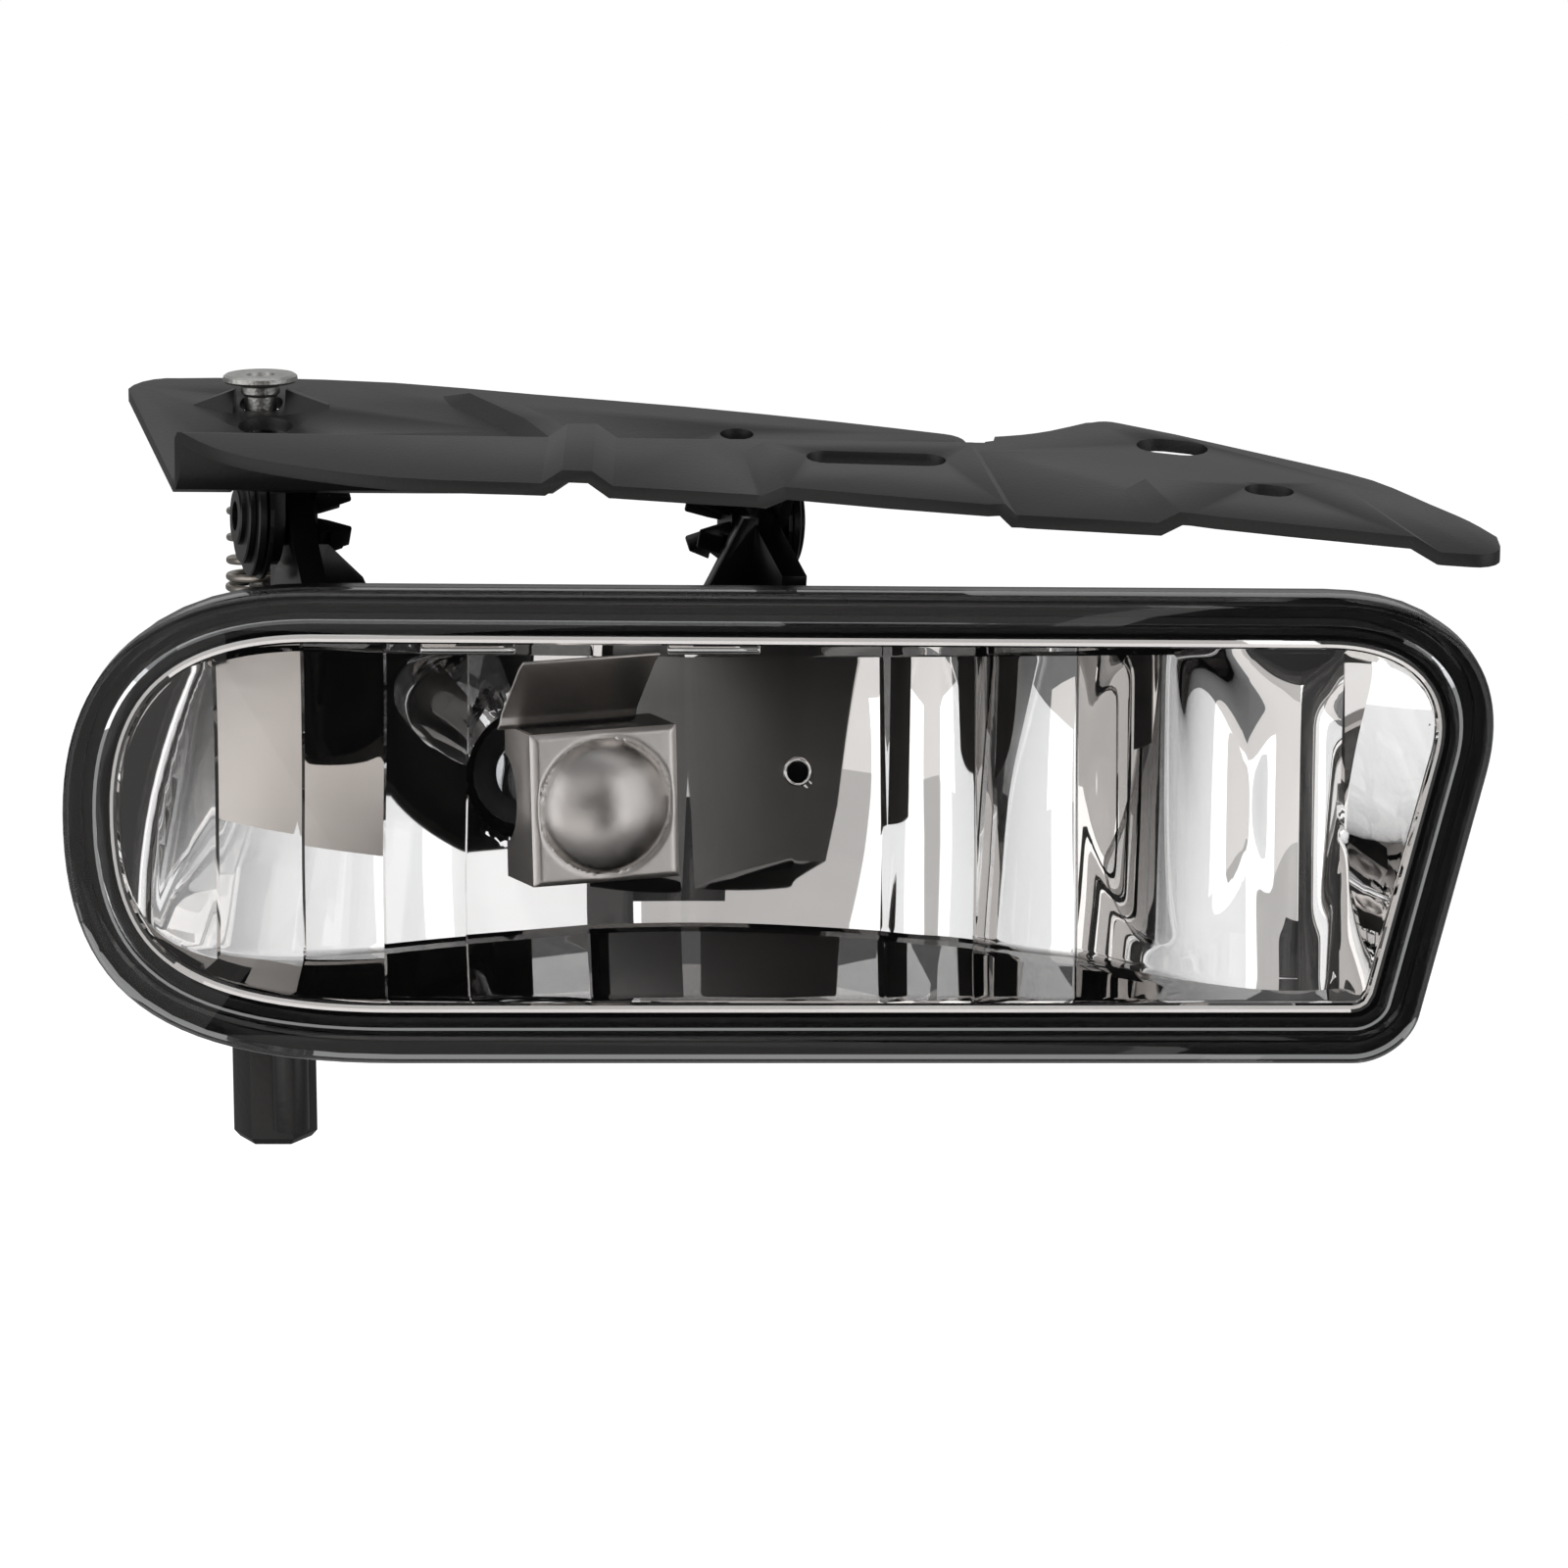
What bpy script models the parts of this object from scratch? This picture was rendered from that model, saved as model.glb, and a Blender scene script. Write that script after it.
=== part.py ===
"""Bumper fog light on its stamped mounting bracket.

Frame: the origin is on top of the bracket's slotted pad, +X along the lamp, +Y to the rear of the lamp,
+Z up.  The lamp hangs below the bracket on two pivot pins and is aimed by one long screw.
Sizes below are in millimetres; everything is written to the mesh in metres.
"""
import bpy
import bmesh
from math import atan2, cos, pi, radians, sin, sqrt, tan
from mathutils import Matrix, Vector

MM = 0.001
GAP = 0.3                        # clearance between neighbouring pieces

# ---- driving dimensions -----------------------------------------------------------------------------
LENS_CENTRE = Vector((-16.0, -17.0, -56.8))   # middle of the lens front face, in the part's frame
LENS_RAKE = tan(radians(11.0))                # the lens leans back by this slope
LENS_LEFT, LENS_RIGHT_TOP, LENS_RIGHT_FOOT = -120.4, 126.5, 105.2
LENS_TOP, LENS_TOP_RIGHT, LENS_FOOT = 38.6, 37.2, -39.4
LENS_THICK = 2.6

BULB_PORT = Vector((-45.5, 62.0, -4.5))       # middle of the reflector's bulb hole, from the lens centre
BULB_YAW, BULB_PITCH = radians(19.0), radians(5.0)

PIVOT = Vector((-92.0, 52.0, 43.6))           # left end of the tilt axis, from the lens centre
PIVOT_YAW, PIVOT_FALL = radians(16.0), radians(3.3)
PIVOT_SPAN = 95.9                             # the right pivot mirrors the left one over this length

SCREW_X, SCREW_Y = -93.0, 81.0                # axis of the aiming screw, from the lens centre
KNOB_FOOT, COLUMN_FOOT, COLUMN_TOP = -77.3, -55.0, 22.0
SCREW_HEAD_TOP, SCREW_HEAD_FOOT = 64.4, 62.9

SHEET = 2.2                                   # bracket steel
PAD_RISE, BEAD_RISE = 2.0, 2.4
FLANGE_FALL_X, FLANGE_RISE_Y = -0.03, 0.14    # slopes of the front flange
REAR_LEVEL, REAR_FALL_X, REAR_RISE_Y = -12.1, -0.025, 0.177   # rear plate: height at the origin, slopes
RISER_START, RISER_SLOPE = Vector((-119.6, 21.0)), 0.054      # plan line of the step between the two

REFLECTOR_DEPTH, REFLECTOR_APEX_X = 67.5, -20.0
REFLECTOR_HALF_LEFT, REFLECTOR_HALF_RIGHT = 90.0, 112.0
REFLECTOR_CURVE = 192.0                       # four times the focal length
CEILING_FALL = 0.27                           # slope of the reflector's ceiling towards the rear
HOUSING_DEPTH = 75.0
HOUSING_TOP_FALL = 0.23                       # slope of the housing top towards the rear


# ---- materials ---------------------------------------------------------------------------------------
def material(name, colour, roughness, metallic=0.0, transmission=0.0):
    made = bpy.data.materials.new(name)
    made.use_nodes = True
    shader = made.node_tree.nodes["Principled BSDF"]
    shader.inputs["Base Color"].default_value = (*colour, 1.0)
    shader.inputs["Roughness"].default_value = roughness
    shader.inputs["Metallic"].default_value = metallic
    shader.inputs["Transmission Weight"].default_value = transmission
    return made


# ---- helpers -----------------------------------------------------------------------------------------
def add_object(name, verts, faces, finish, parent=None, smooth=radians(35.0)):
    """One closed mesh from points in millimetres, in its parent's frame."""
    mesh = bpy.data.meshes.new(name)
    mesh.from_pydata([Vector(v) * MM for v in verts], [], faces)
    shape = bmesh.new()
    shape.from_mesh(mesh)
    bmesh.ops.recalc_face_normals(shape, faces=shape.faces)
    shape.to_mesh(mesh)
    shape.free()
    mesh.shade_smooth()
    mesh.set_sharp_from_angle(angle=smooth)
    if finish:
        mesh.materials.append(finish)
    made = bpy.data.objects.new(name, mesh)
    bpy.context.scene.collection.objects.link(made)
    made.parent = parent
    return made


def frame(name, origin, axes=None, parent=None):
    """An empty that carries a group of pieces; axes are its local X, Y and Z directions."""
    empty = bpy.data.objects.new(name, None)
    bpy.context.scene.collection.objects.link(empty)
    place = Matrix.Translation(Vector(origin) * MM)
    if axes:
        place = place @ Matrix(axes).transposed().to_4x4()
    empty.matrix_local = place
    empty.parent = parent
    return empty


def loft(rings, closed=False):
    """Points and faces that join equal rings one after another."""
    count = len(rings[0])
    verts = [point for ring in rings for point in ring]
    faces = []
    spans = len(rings) if closed else len(rings) - 1
    for k in range(spans):
        low, high = k * count, ((k + 1) % len(rings)) * count
        for i in range(count):
            j = (i + 1) % count
            faces.append((low + i, low + j, high + j, high + i))
    return verts, faces


def turned(name, profile, finish, parent, centre=(0.0, 0.0), segments=24, axis="Z", hollow=False):
    """A solid of revolution; profile is (radius, height) pairs, from one end to the other."""
    def place(radius, height, angle):
        a, b = radius * cos(angle) + centre[0], radius * sin(angle) + centre[1]
        return (a, b, height) if axis == "Z" else (height, a, b)
    angles = [2 * pi * i / segments for i in range(segments)]
    rings = [[place(r, h, angle) for angle in angles] for r, h in profile]
    verts, faces = loft(rings, closed=hollow)
    if not hollow:
        last = len(verts) - segments
        faces.append(tuple(range(segments)))
        faces.append(tuple(range(last, last + segments)))
    return add_object(name, verts, faces, finish, parent)


def prism(name, outline, low, high, finish, parent, axis="Z"):
    """A flat outline pushed along one axis; on X the outline is (y, z)."""
    def place(point, level):
        return (point[0], point[1], level) if axis == "Z" else (level, point[0], point[1])
    rings = [[place(p, low) for p in outline], [place(p, high) for p in outline]]
    verts, faces = loft(rings)
    count = len(outline)
    faces.append(tuple(range(count)))
    faces.append(tuple(range(count, 2 * count)))
    return add_object(name, verts, faces, finish, parent)


def block(name, low, high, finish, parent):
    outline = [(low[0], low[1]), (high[0], low[1]), (high[0], high[1]), (low[0], high[1])]
    return prism(name, outline, low[2], high[2], finish, parent)


def arc(centre, radius, start, end, steps):
    """Points on a circular arc, angles in degrees."""
    return [(centre[0] + radius * cos(radians(start + (end - start) * i / steps)),
             centre[1] + radius * sin(radians(start + (end - start) * i / steps))) for i in range(steps + 1)]


def combine(body, tool, operation):
    """Cut a tool from a body, or weld it on; the tool itself is only a guide."""
    tool.hide_render = True
    tool.display_type = "WIRE"
    step = body.modifiers.new(tool.name, "BOOLEAN")
    step.operation = operation
    step.solver = "EXACT"
    step.object = tool


# ---- lens outline ------------------------------------------------------------------------------------
LENS_CORNERS = [                 # corner, tangent length before and after it, fullness of the curve
    (Vector((LENS_LEFT, LENS_TOP)), 36.6, 42.0, 0.65),
    (Vector((LENS_RIGHT_TOP, LENS_TOP_RIGHT)), 34.5, 30.0, 0.61),
    (Vector((LENS_RIGHT_FOOT, LENS_FOOT)), 8.3, 9.0, 0.55),
    (Vector((LENS_LEFT, LENS_FOOT)), 56.0, 41.4, 0.72),
]
CORNER_STEPS, EDGE_COLUMNS = 12, [-50.0, -38.0, -20.0, 0.0, 20.0, 40.0, 60.0, 80.0]


def inset_corner(index, inset):
    """A rounded corner of the outline, moved in by inset: its curve from start to end."""
    corner, before, after, fullness = LENS_CORNERS[index]
    came = (corner - LENS_CORNERS[index - 1][0]).normalized()
    goes = (LENS_CORNERS[(index + 1) % 4][0] - corner).normalized()
    half = (pi - came.angle(goes)) / 2
    inward = (goes - came).normalized()
    point = corner + inward * (inset / sin(half))
    start = point - came * max(before - inset / tan(half), 1.5)
    end = point + goes * max(after - inset / tan(half), 1.5)
    hold_a, hold_b = start.lerp(point, fullness), end.lerp(point, fullness)
    curve = []
    for i in range(CORNER_STEPS + 1):
        t = i / CORNER_STEPS
        curve.append(start * (1 - t) ** 3 + hold_a * 3 * t * (1 - t) ** 2
                     + hold_b * 3 * t * t * (1 - t) + end * t ** 3)
    return curve


def outline(inset):
    """The lens outline as (x, z): along the top from left to right, then back along the foot."""
    top_left, top_right, foot_right, foot_left = [inset_corner(k, inset) for k in range(4)]

    def edge(a, b):
        return [a.lerp(b, (x - a.x) / (b.x - a.x)) for x in EDGE_COLUMNS]
    top = top_left + edge(top_left[-1], top_right[0]) + top_right
    foot = foot_left[::-1] + edge(foot_left[0], foot_right[-1]) + foot_right[::-1]
    return top + foot[:0:-1]


HALF = 2 * (CORNER_STEPS + 1) + len(EDGE_COLUMNS)     # points along the top, and along the foot


def rim_ring(inset, depth):
    """A ring that follows the raked lens edge, depth behind the lens front."""
    return [(x, z * LENS_RAKE + depth, z) for x, z in outline(inset)]


def bowl_fill(verts, faces, start, rows, depth_at):
    """Close a ring with a curved floor: columns run from the top edge to the foot edge."""
    count = 2 * HALF - 1
    columns = []
    for j in range(HALF):
        high, low = start + j, start + (count - j) % count
        inner = []
        if 0 < j < HALF - 1:
            a, b = Vector(verts[high]), Vector(verts[low])
            for r in range(1, rows):
                point = a.lerp(b, r / rows)
                point.y = depth_at(point.x, point.z)
                inner.append(len(verts))
                verts.append(tuple(point))
        columns.append([high, *inner, low] if j else [high])
    for left, right in zip(columns, columns[1:]):
        if len(left) == 1:
            faces += [(left[0], right[r], right[r + 1]) for r in range(rows)]
        elif len(right) == 2:
            faces += [(left[r], right[0], left[r + 1]) for r in range(rows)]
            faces.append((left[-1], right[0], right[1]))
        else:
            faces += [(left[r], right[r], right[r + 1], left[r + 1]) for r in range(rows)]


# ---- bracket -----------------------------------------------------------------------------------------
def riser_line(x):
    return RISER_START.y + RISER_SLOPE * (x - RISER_START.x)


def flange_height(x, y):
    return -PAD_RISE + FLANGE_FALL_X * x + FLANGE_RISE_Y * y


def rear_height(x, y):
    return REAR_LEVEL + REAR_FALL_X * x + REAR_RISE_Y * y


# plan columns: x at y = 0, lean per millimetre of y, and what is pressed up there
COLUMNS = [(-137, 0, ""), (-120, 0, ""), (-98, 0, ""), (-78, 0, ""), (-56, 0, ""), (-52.5, 0, "bead"),
           (-47.5, 0, "bead"), (-44, 0, ""), (-30, 0, ""), (-20, -0.14, ""), (-16.5, -0.14, "slot pad"),
           (0, -0.14, "slot pad"), (19.3, -0.145, "slot pad"), (21.3, -0.145, "riser end"),
           (23.3, -0.145, "wing"), (34, -0.2, "wing"), (42.6, -0.26, "wing"), (46.1, -0.26, "end pad"),
           (62, -0.3, "end pad"), (79, -0.37, "end pad"), (82.5, -0.37, "wing"), (93, -0.3, "wing"),
           (108, 0, "wing")]
FRONT_ROWS = [0.0, 0.57, 0.64, 0.864, 0.916, 1.0]     # share of the way from the front to the step
STEP_ROWS = [(-0.9, 0.04), (-0.1, 0.16), (0.4, 0.4), (0.8, 0.75), (1.5, 0.93), (3.0, 1.0)]
REAR_ROWS = [40.0, 53.0, 66.0, 71.0, 84.0]
FRONT_LIMIT, STEP_LEAD = -32.0, -2.2


def bracket_grid():
    """The sheet's upper surface, before it is trimmed to its outline."""
    verts = []
    for start, lean, feature in COLUMNS:
        wing = feature in ("wing", "end pad")

        def column_x(y):
            x = start + lean * min(y, 30.0)
            bow = -0.012 * max(y - 26.0, 0.0) ** 2      # the bead curves to the left across the rear plate
            if -120 <= start <= -56:
                x += bow * (start + 120) / 64
            elif start <= 21.3:
                x += bow * max(0.0, 1 - max(start + 44, 0.0) / 50)
            return x
        for share in FRONT_ROWS:
            y = FRONT_LIMIT + share * (riser_line(start) + STEP_LEAD - FRONT_LIMIT)
            x = column_x(y)
            lift = 0.0
            if feature == "bead":
                lift = BEAD_RISE
            elif feature == "slot pad" and share <= 0.864:
                lift = PAD_RISE
            elif feature == "end pad" and share <= 0.57:
                lift = PAD_RISE
            verts.append((x, y, flange_height(x, y) + lift))
        for offset, drop in STEP_ROWS:
            y = riser_line(start) + offset
            x = column_x(y)
            high, low = flange_height(x, y), rear_height(x, y)
            z = high if wing else high + (low - high) * drop
            verts.append((x, y, z + (BEAD_RISE if feature == "bead" else 0.0)))
        for y in REAR_ROWS:
            x = column_x(y)
            z = flange_height(x, y) if wing else rear_height(x, y)
            verts.append((x, y, z + (BEAD_RISE if feature == "bead" and y <= 66.0 else 0.0)))
    rows = len(FRONT_ROWS) + len(STEP_ROWS) + len(REAR_ROWS)
    faces = []
    for c in range(len(COLUMNS) - 1):
        torn = COLUMNS[c][2] == "riser end"         # a relief notch parts the wing from the rear plate
        for r in range(len(FRONT_ROWS) - 1 if torn else rows - 1):
            faces.append((c * rows + r, (c + 1) * rows + r, (c + 1) * rows + r + 1, c * rows + r + 1))
    return verts, faces


def through_points(points, steps=6):
    """A smooth run through a few points, used for the sheet's curved edges."""
    run = []
    last = len(points) - 1
    for k in range(last):
        p0, p1 = Vector(points[max(k - 1, 0)]), Vector(points[k])
        p2, p3 = Vector(points[k + 1]), Vector(points[min(k + 2, last)])
        for i in range(steps):
            t = i / steps
            point = (p1 * 2 + (p2 - p0) * t + (p0 * 2 - p1 * 5 + p2 * 4 - p3) * t * t
                     + (p1 * 3 - p0 - p2 * 3 + p3) * t ** 3) / 2
            run.append((point.x, point.y))
    return run


BRACKET_OUTLINE = (
    through_points([(-120.0, 21.0), (-112.0, 10.3), (-101.0, 3.2), (-81.0, -3.0), (-60.0, -3.8)], 3)
    + [(-60.0, -3.8), (-44.0, -4.2), (-20.0, -6.7), (-15.0, -8.4), (18.5, -14.6), (24.0, -13.4),
       (42.0, -15.0), (52.0, -16.0), (56.0, -17.4), (87.5, -25.0), (92.5, -26.6)]
    + arc((98.0, -22.6), 4.6, -100, 0, 5)
    + through_points([(102.6, -17.6), (98.9, -9.5), (93.4, -1.0), (84.8, 11.6), (73.8, 20.2)], 3)
    + [(73.8, 20.2), (53.0, 34.6)]
    + arc((41.0, 37.6), 3.6, 55, 130, 4)
    + through_points([(37.5, 40.0), (31.0, 34.6), (26.0, 31.8), (21.2, 30.2)], 2)
    + [(21.2, 30.2), (20.9, 27.8), (18.6, 26.6), (17.0, 28.0), (16.6, 33.0), (16.8, 50.0)]
    + arc((12.0, 52.6), 5.0, 10, 75, 4)
    + through_points([(9.2, 58.6), (-6.5, 62.8), (-33.0, 68.8), (-60.0, 73.4), (-86.0, 78.0), (-110.0, 78.8),
                      (-124.0, 77.6)], 2)
    + arc((-125.6, 69.6), 8.0, 85, 170, 5))

ACCESS_HOLE = (-107.2, 52.6, 4.8)              # lets a driver down to the pivot; x, y, radius
SCREW_SLOT = ((-109.0, 63.6), (-109.0, 66.0), 3.8)
SLOT_CENTRE, SLOT_HALF, SLOT_RADIUS = (0.3, 9.0), 8.4, 3.5
WING_SLOT = ((49.65, 27.8), (53.85, 26.7), 4.1)
TIP_SLOT = ((64.95, -2.05), (67.25, -2.75), 3.0)
REAR_HOLE = (-23.7, 54.6, 3.0)


def stadium(a, b, radius, steps=8):
    """A slot outline with round ends between two points."""
    heading = Vector(b) - Vector(a)
    turn = atan2(heading.y, heading.x) * 180 / pi
    return arc(a, radius, turn + 90, turn + 270, steps) + arc(b, radius, turn - 90, turn + 90, steps)


def make_bracket(finish, pivot_frame):
    verts, faces = bracket_grid()
    mesh = bpy.data.meshes.new("mounting_bracket")
    mesh.from_pydata([Vector(v) * MM for v in verts], [], faces)
    mesh.materials.append(finish)
    bracket = bpy.data.objects.new("mounting_bracket", mesh)
    bpy.context.scene.collection.objects.link(bracket)
    wall = bracket.modifiers.new("sheet", "SOLIDIFY")
    wall.thickness = SHEET * MM
    wall.offset = -1.0

    trim = prism("bracket_trim", BRACKET_OUTLINE, -40, 40, None, None)
    combine(bracket, trim, "INTERSECT")
    left_ear = prism("ear_left", [(-7.0, 7.9), *arc((0, 0), 8.5, 180, 360, 10), (7.0, 10.2)],
                     2.0, 4.0, None, pivot_frame, axis="X")
    right_ear = prism("ear_right", [(-16.0, 13.8), (-16.0, 8.0), *arc((0, 0), 8.5, 200, 370, 10),
                                    (3.4, 17.0)],
                      PIVOT_SPAN - 4.0, PIVOT_SPAN - 2.0, None, pivot_frame, axis="X")
    combine(bracket, left_ear, "UNION")
    combine(bracket, right_ear, "UNION")
    window = block("ear_window", (-6.0, -11.5, 4.0), (1.7, 11.0, 16.0), None, pivot_frame)
    combine(bracket, window, "DIFFERENCE")      # the opening that the left ear is bent down from
    ear_holes = turned("ear_holes", [(6.5, -30.0), (6.5, PIVOT_SPAN + 30.0)], None, pivot_frame, axis="X",
                       segments=20)
    combine(bracket, ear_holes, "DIFFERENCE")

    screw = LENS_CENTRE + Vector((SCREW_X, SCREW_Y, 0.0))
    for side in (-1, 1):                       # two lanced tongues that cradle the screw head
        floor = rear_height(screw.x, screw.y) - 1.2
        inner, outer = screw.x + side * 4.6, screw.x + side * 12.2
        rings = [[(inner, screw.y - 5.5, floor), (inner, screw.y - 1.2, floor + 4.1),
                  (inner, screw.y + 1.6, floor + 4.1), (inner, screw.y + 5.0, floor)],
                 [(outer, screw.y - 3.0, floor), (outer, screw.y - 1.0, floor + 1.3),
                  (outer, screw.y + 1.0, floor + 1.3), (outer, screw.y + 3.0, floor)]]
        lance_verts, lance_faces = loft(rings)
        lance_faces += [(0, 1, 2, 3), (4, 5, 6, 7)]
        lance = add_object(f"lance_{side}", lance_verts, lance_faces, None)
        combine(bracket, lance, "UNION")

    cutters = [("cut_pad_slot", stadium((SLOT_CENTRE[0] - SLOT_HALF, SLOT_CENTRE[1]),
                                        (SLOT_CENTRE[0] + SLOT_HALF, SLOT_CENTRE[1]), SLOT_RADIUS)),
               ("cut_wing_slot", stadium(*WING_SLOT)),
               ("cut_tip_slot", stadium(*TIP_SLOT)),
               ("cut_screw_slot", stadium(*SCREW_SLOT))]
    for name, (x, y, radius) in (("cut_access", ACCESS_HOLE), ("cut_rear_hole", REAR_HOLE)):
        cutters.append((name, arc((x, y), radius, 0, 345, 23)))
    for name, shape in cutters:
        combine(bracket, prism(name, shape, -30, 30, None, None), "DIFFERENCE")
    return bracket


# ---- lamp shell --------------------------------------------------------------------------------------
def housing_back(x, skin):
    """Rear wall of the housing: boxy on the left, tapering away on the right."""
    if x < REFLECTOR_APEX_X:
        share = abs(x - REFLECTOR_APEX_X) / (98.0 - skin) if x > -118 + skin else 1.0
        power = 4.0
    else:
        share = (x - REFLECTOR_APEX_X) / (131.0 - skin)
        power = 2.2
    depth = HOUSING_DEPTH - skin
    return depth * sqrt(max(1.0 - min(share, 1.0) ** power, 0.0))


def housing_ring(inset, share, skin):
    """A ring of the housing wall, share of the way from the rim to the rear."""
    ring = []
    for x, z in outline(inset):
        front = z * LENS_RAKE + 14.0
        y = front + share * max(housing_back(x, skin) - front, 2.5)
        travel = y - front
        fall = HOUSING_TOP_FALL * travel * z / 37.0 if z > 0 else 0.02 * travel * z / 38.0
        ring.append((x, y, z - fall))
    return ring


def make_housing(finish, lamp, bulb):
    rings = [housing_ring(9.0, 1.0, 0.0), housing_ring(4.6, 0.97, 0.0), housing_ring(2.8, 0.86, 0.0),
             housing_ring(2.2, 0.0, 0.0), rim_ring(0.6, 12.4), rim_ring(0.6, 5.4), rim_ring(2.6, 5.4),
             rim_ring(2.6, 11.0), rim_ring(5.4, 11.0), rim_ring(5.4, 4.2), rim_ring(6.9, 4.2),
             rim_ring(6.9, 12.4), housing_ring(4.7, 0.05, 2.5), housing_ring(5.2, 0.86, 2.5),
             housing_ring(6.6, 0.96, 2.5), housing_ring(10.5, 1.0, 2.5)]
    verts, faces = loft(rings)
    last = len(verts) - len(rings[0])
    bowl_fill(verts, faces, 0, 5, lambda x, z: max(housing_back(x, 0.0), z * LENS_RAKE + 16.5))
    bowl_fill(verts, faces, last, 5, lambda x, z: max(housing_back(x, 2.5), z * LENS_RAKE + 14.5))
    housing = add_object("housing", verts, faces, finish, lamp)
    boss = block("column_boss", (-100.4, 47.5, -13.6), (-85.6, 67.0, 12.2), None, lamp)
    combine(housing, boss, "UNION")
    collar = turned("port_collar", [(19.0, -23.0), (19.0, -6.0)], None, bulb, segments=32)
    combine(housing, collar, "UNION")
    bore = turned("port_bore", [(16.4, -40.0), (16.4, -16.5), (13.2, -16.5), (13.2, 20.0)], None, bulb,
                  segments=32)
    combine(housing, bore, "DIFFERENCE")
    for k in range(3):                          # the tabs that hold the bulb's three lugs
        first = 120 * k + 10
        tab = prism(f"port_tab_{k}", arc((0, 0), 17.4, first, first + 44, 4)
                    + arc((0, 0), 13.6, first + 44, first, 4), -22.8, -21.0, None, bulb)
        combine(housing, tab, "UNION")
    for k, (x, z) in enumerate(REFLECTOR_SCREWS):
        hole = turned(f"screw_hole_{k}", [(2.4, 50.0), (2.4, 90.0)], None, lamp, segments=12)
        rear_facing(hole, x, z)
        combine(housing, hole, "DIFFERENCE")
    vent = turned("vent_hole", [(2.3, 50.0), (2.3, 90.0)], None, lamp, segments=12)
    rear_facing(vent, *VENT)
    combine(housing, vent, "DIFFERENCE")
    return housing


def make_lens(finish, lamp):
    rings = [rim_ring(1.3, 0.0), rim_ring(0.35, 0.4), rim_ring(0.0, 1.3), rim_ring(0.0, 5.0),
             rim_ring(3.0, 5.0), rim_ring(3.0, 9.0), rim_ring(5.0, 9.0), rim_ring(5.0, LENS_THICK)]
    verts, faces = loft(rings)
    count = len(rings[0])
    faces.append(tuple(range(count)))
    faces.append(tuple(range(len(verts) - count, len(verts))))
    return add_object("lens", verts, faces, finish, lamp)


def make_seal(finish, lamp):
    rings = [rim_ring(3.0, 9.4), rim_ring(5.0, 9.4), rim_ring(5.0, 10.6), rim_ring(3.0, 10.6)]
    verts, faces = loft(rings, closed=True)
    return add_object("lens_seal", verts, faces, finish, lamp)


# ---- reflector ---------------------------------------------------------------------------------------
def reflector_back(x, z, skin):
    half = REFLECTOR_HALF_LEFT if x < REFLECTOR_APEX_X else REFLECTOR_HALF_RIGHT
    depth = REFLECTOR_DEPTH * (1.0 - ((x - REFLECTOR_APEX_X) / half) ** 2) - z * z / REFLECTOR_CURVE
    return max(depth, z * LENS_RAKE + 6.5) + skin


def reflector_ring(inset, skin):
    ring = []
    for x, z in outline(inset):
        y = reflector_back(x, z, skin)
        travel = y - z * LENS_RAKE - 4.2
        ring.append((x, y, z - (CEILING_FALL * travel * z / 30.0 if z > 0 else 0.0)))
    return ring


def make_reflector(finish, lamp, bulb):
    rings = [reflector_ring(9.4, 0.0), rim_ring(9.4, 4.2), rim_ring(7.3, 4.2), reflector_ring(7.3, 2.0)]
    verts, faces = loft(rings)
    last = len(verts) - len(rings[0])
    bowl_fill(verts, faces, 0, 6, lambda x, z: reflector_back(x, z, 0.0))
    bowl_fill(verts, faces, last, 6, lambda x, z: reflector_back(x, z, 2.0))
    reflector = add_object("reflector", verts, faces, finish, lamp)
    port = turned("reflector_port", [(10.0, -30.0), (10.0, 20.0)], None, bulb, segments=28)
    combine(reflector, port, "DIFFERENCE")
    vent = turned("reflector_vent", [(2.0, 40.0), (2.0, 90.0)], None, lamp, segments=12)
    rear_facing(vent, 2.5, -5.0)
    combine(reflector, vent, "DIFFERENCE")
    return reflector


REFLECTOR_SCREWS = [(-72.0, 6.0), (12.0, 12.0), (12.0, -18.0)]
VENT = (-10.0, -24.0)


def make_reflector_screws(finish, lamp):
    """Three pan-head screws through the rear wall into the back of the reflector."""
    for k, (x, z) in enumerate(REFLECTOR_SCREWS, 1):
        wall = max(housing_back(x + dx, 0.0) for dx in (-5, 0, 5))
        tip = max(reflector_back(x + dx, z, 2.0) for dx in (-2, 2)) + 0.5
        profile = [(1.9, tip), (1.9, wall + GAP), (4.2, wall + GAP), (4.2, wall + 1.6), (3.0, wall + 2.6)]
        screw = turned(f"reflector_screw_{k}", profile, finish, lamp, segments=14)
        rear_facing(screw, x, z)


def rear_facing(piece, x, z):
    """Turn a piece made along Z to point to the rear, at (x, z) on the lamp."""
    piece.rotation_euler = (-pi / 2, 0, 0)
    piece.location = Vector((x, 0.0, z)) * MM


# ---- shield ------------------------------------------------------------------------------------------
SHIELD_HALF, SHIELD_REACH, SHIELD_SHEET = 13.4, 49.0, 0.6     # half width, distance in front of the port


def dome_curve(radius, height, steps=6):
    """Profile of a dome standing on the shield's face, from its edge to its top."""
    return [(max(radius * cos(pi / 2 * i / steps), 0.2), height * sin(pi / 2 * i / steps))
            for i in range(steps + 1)]


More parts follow.
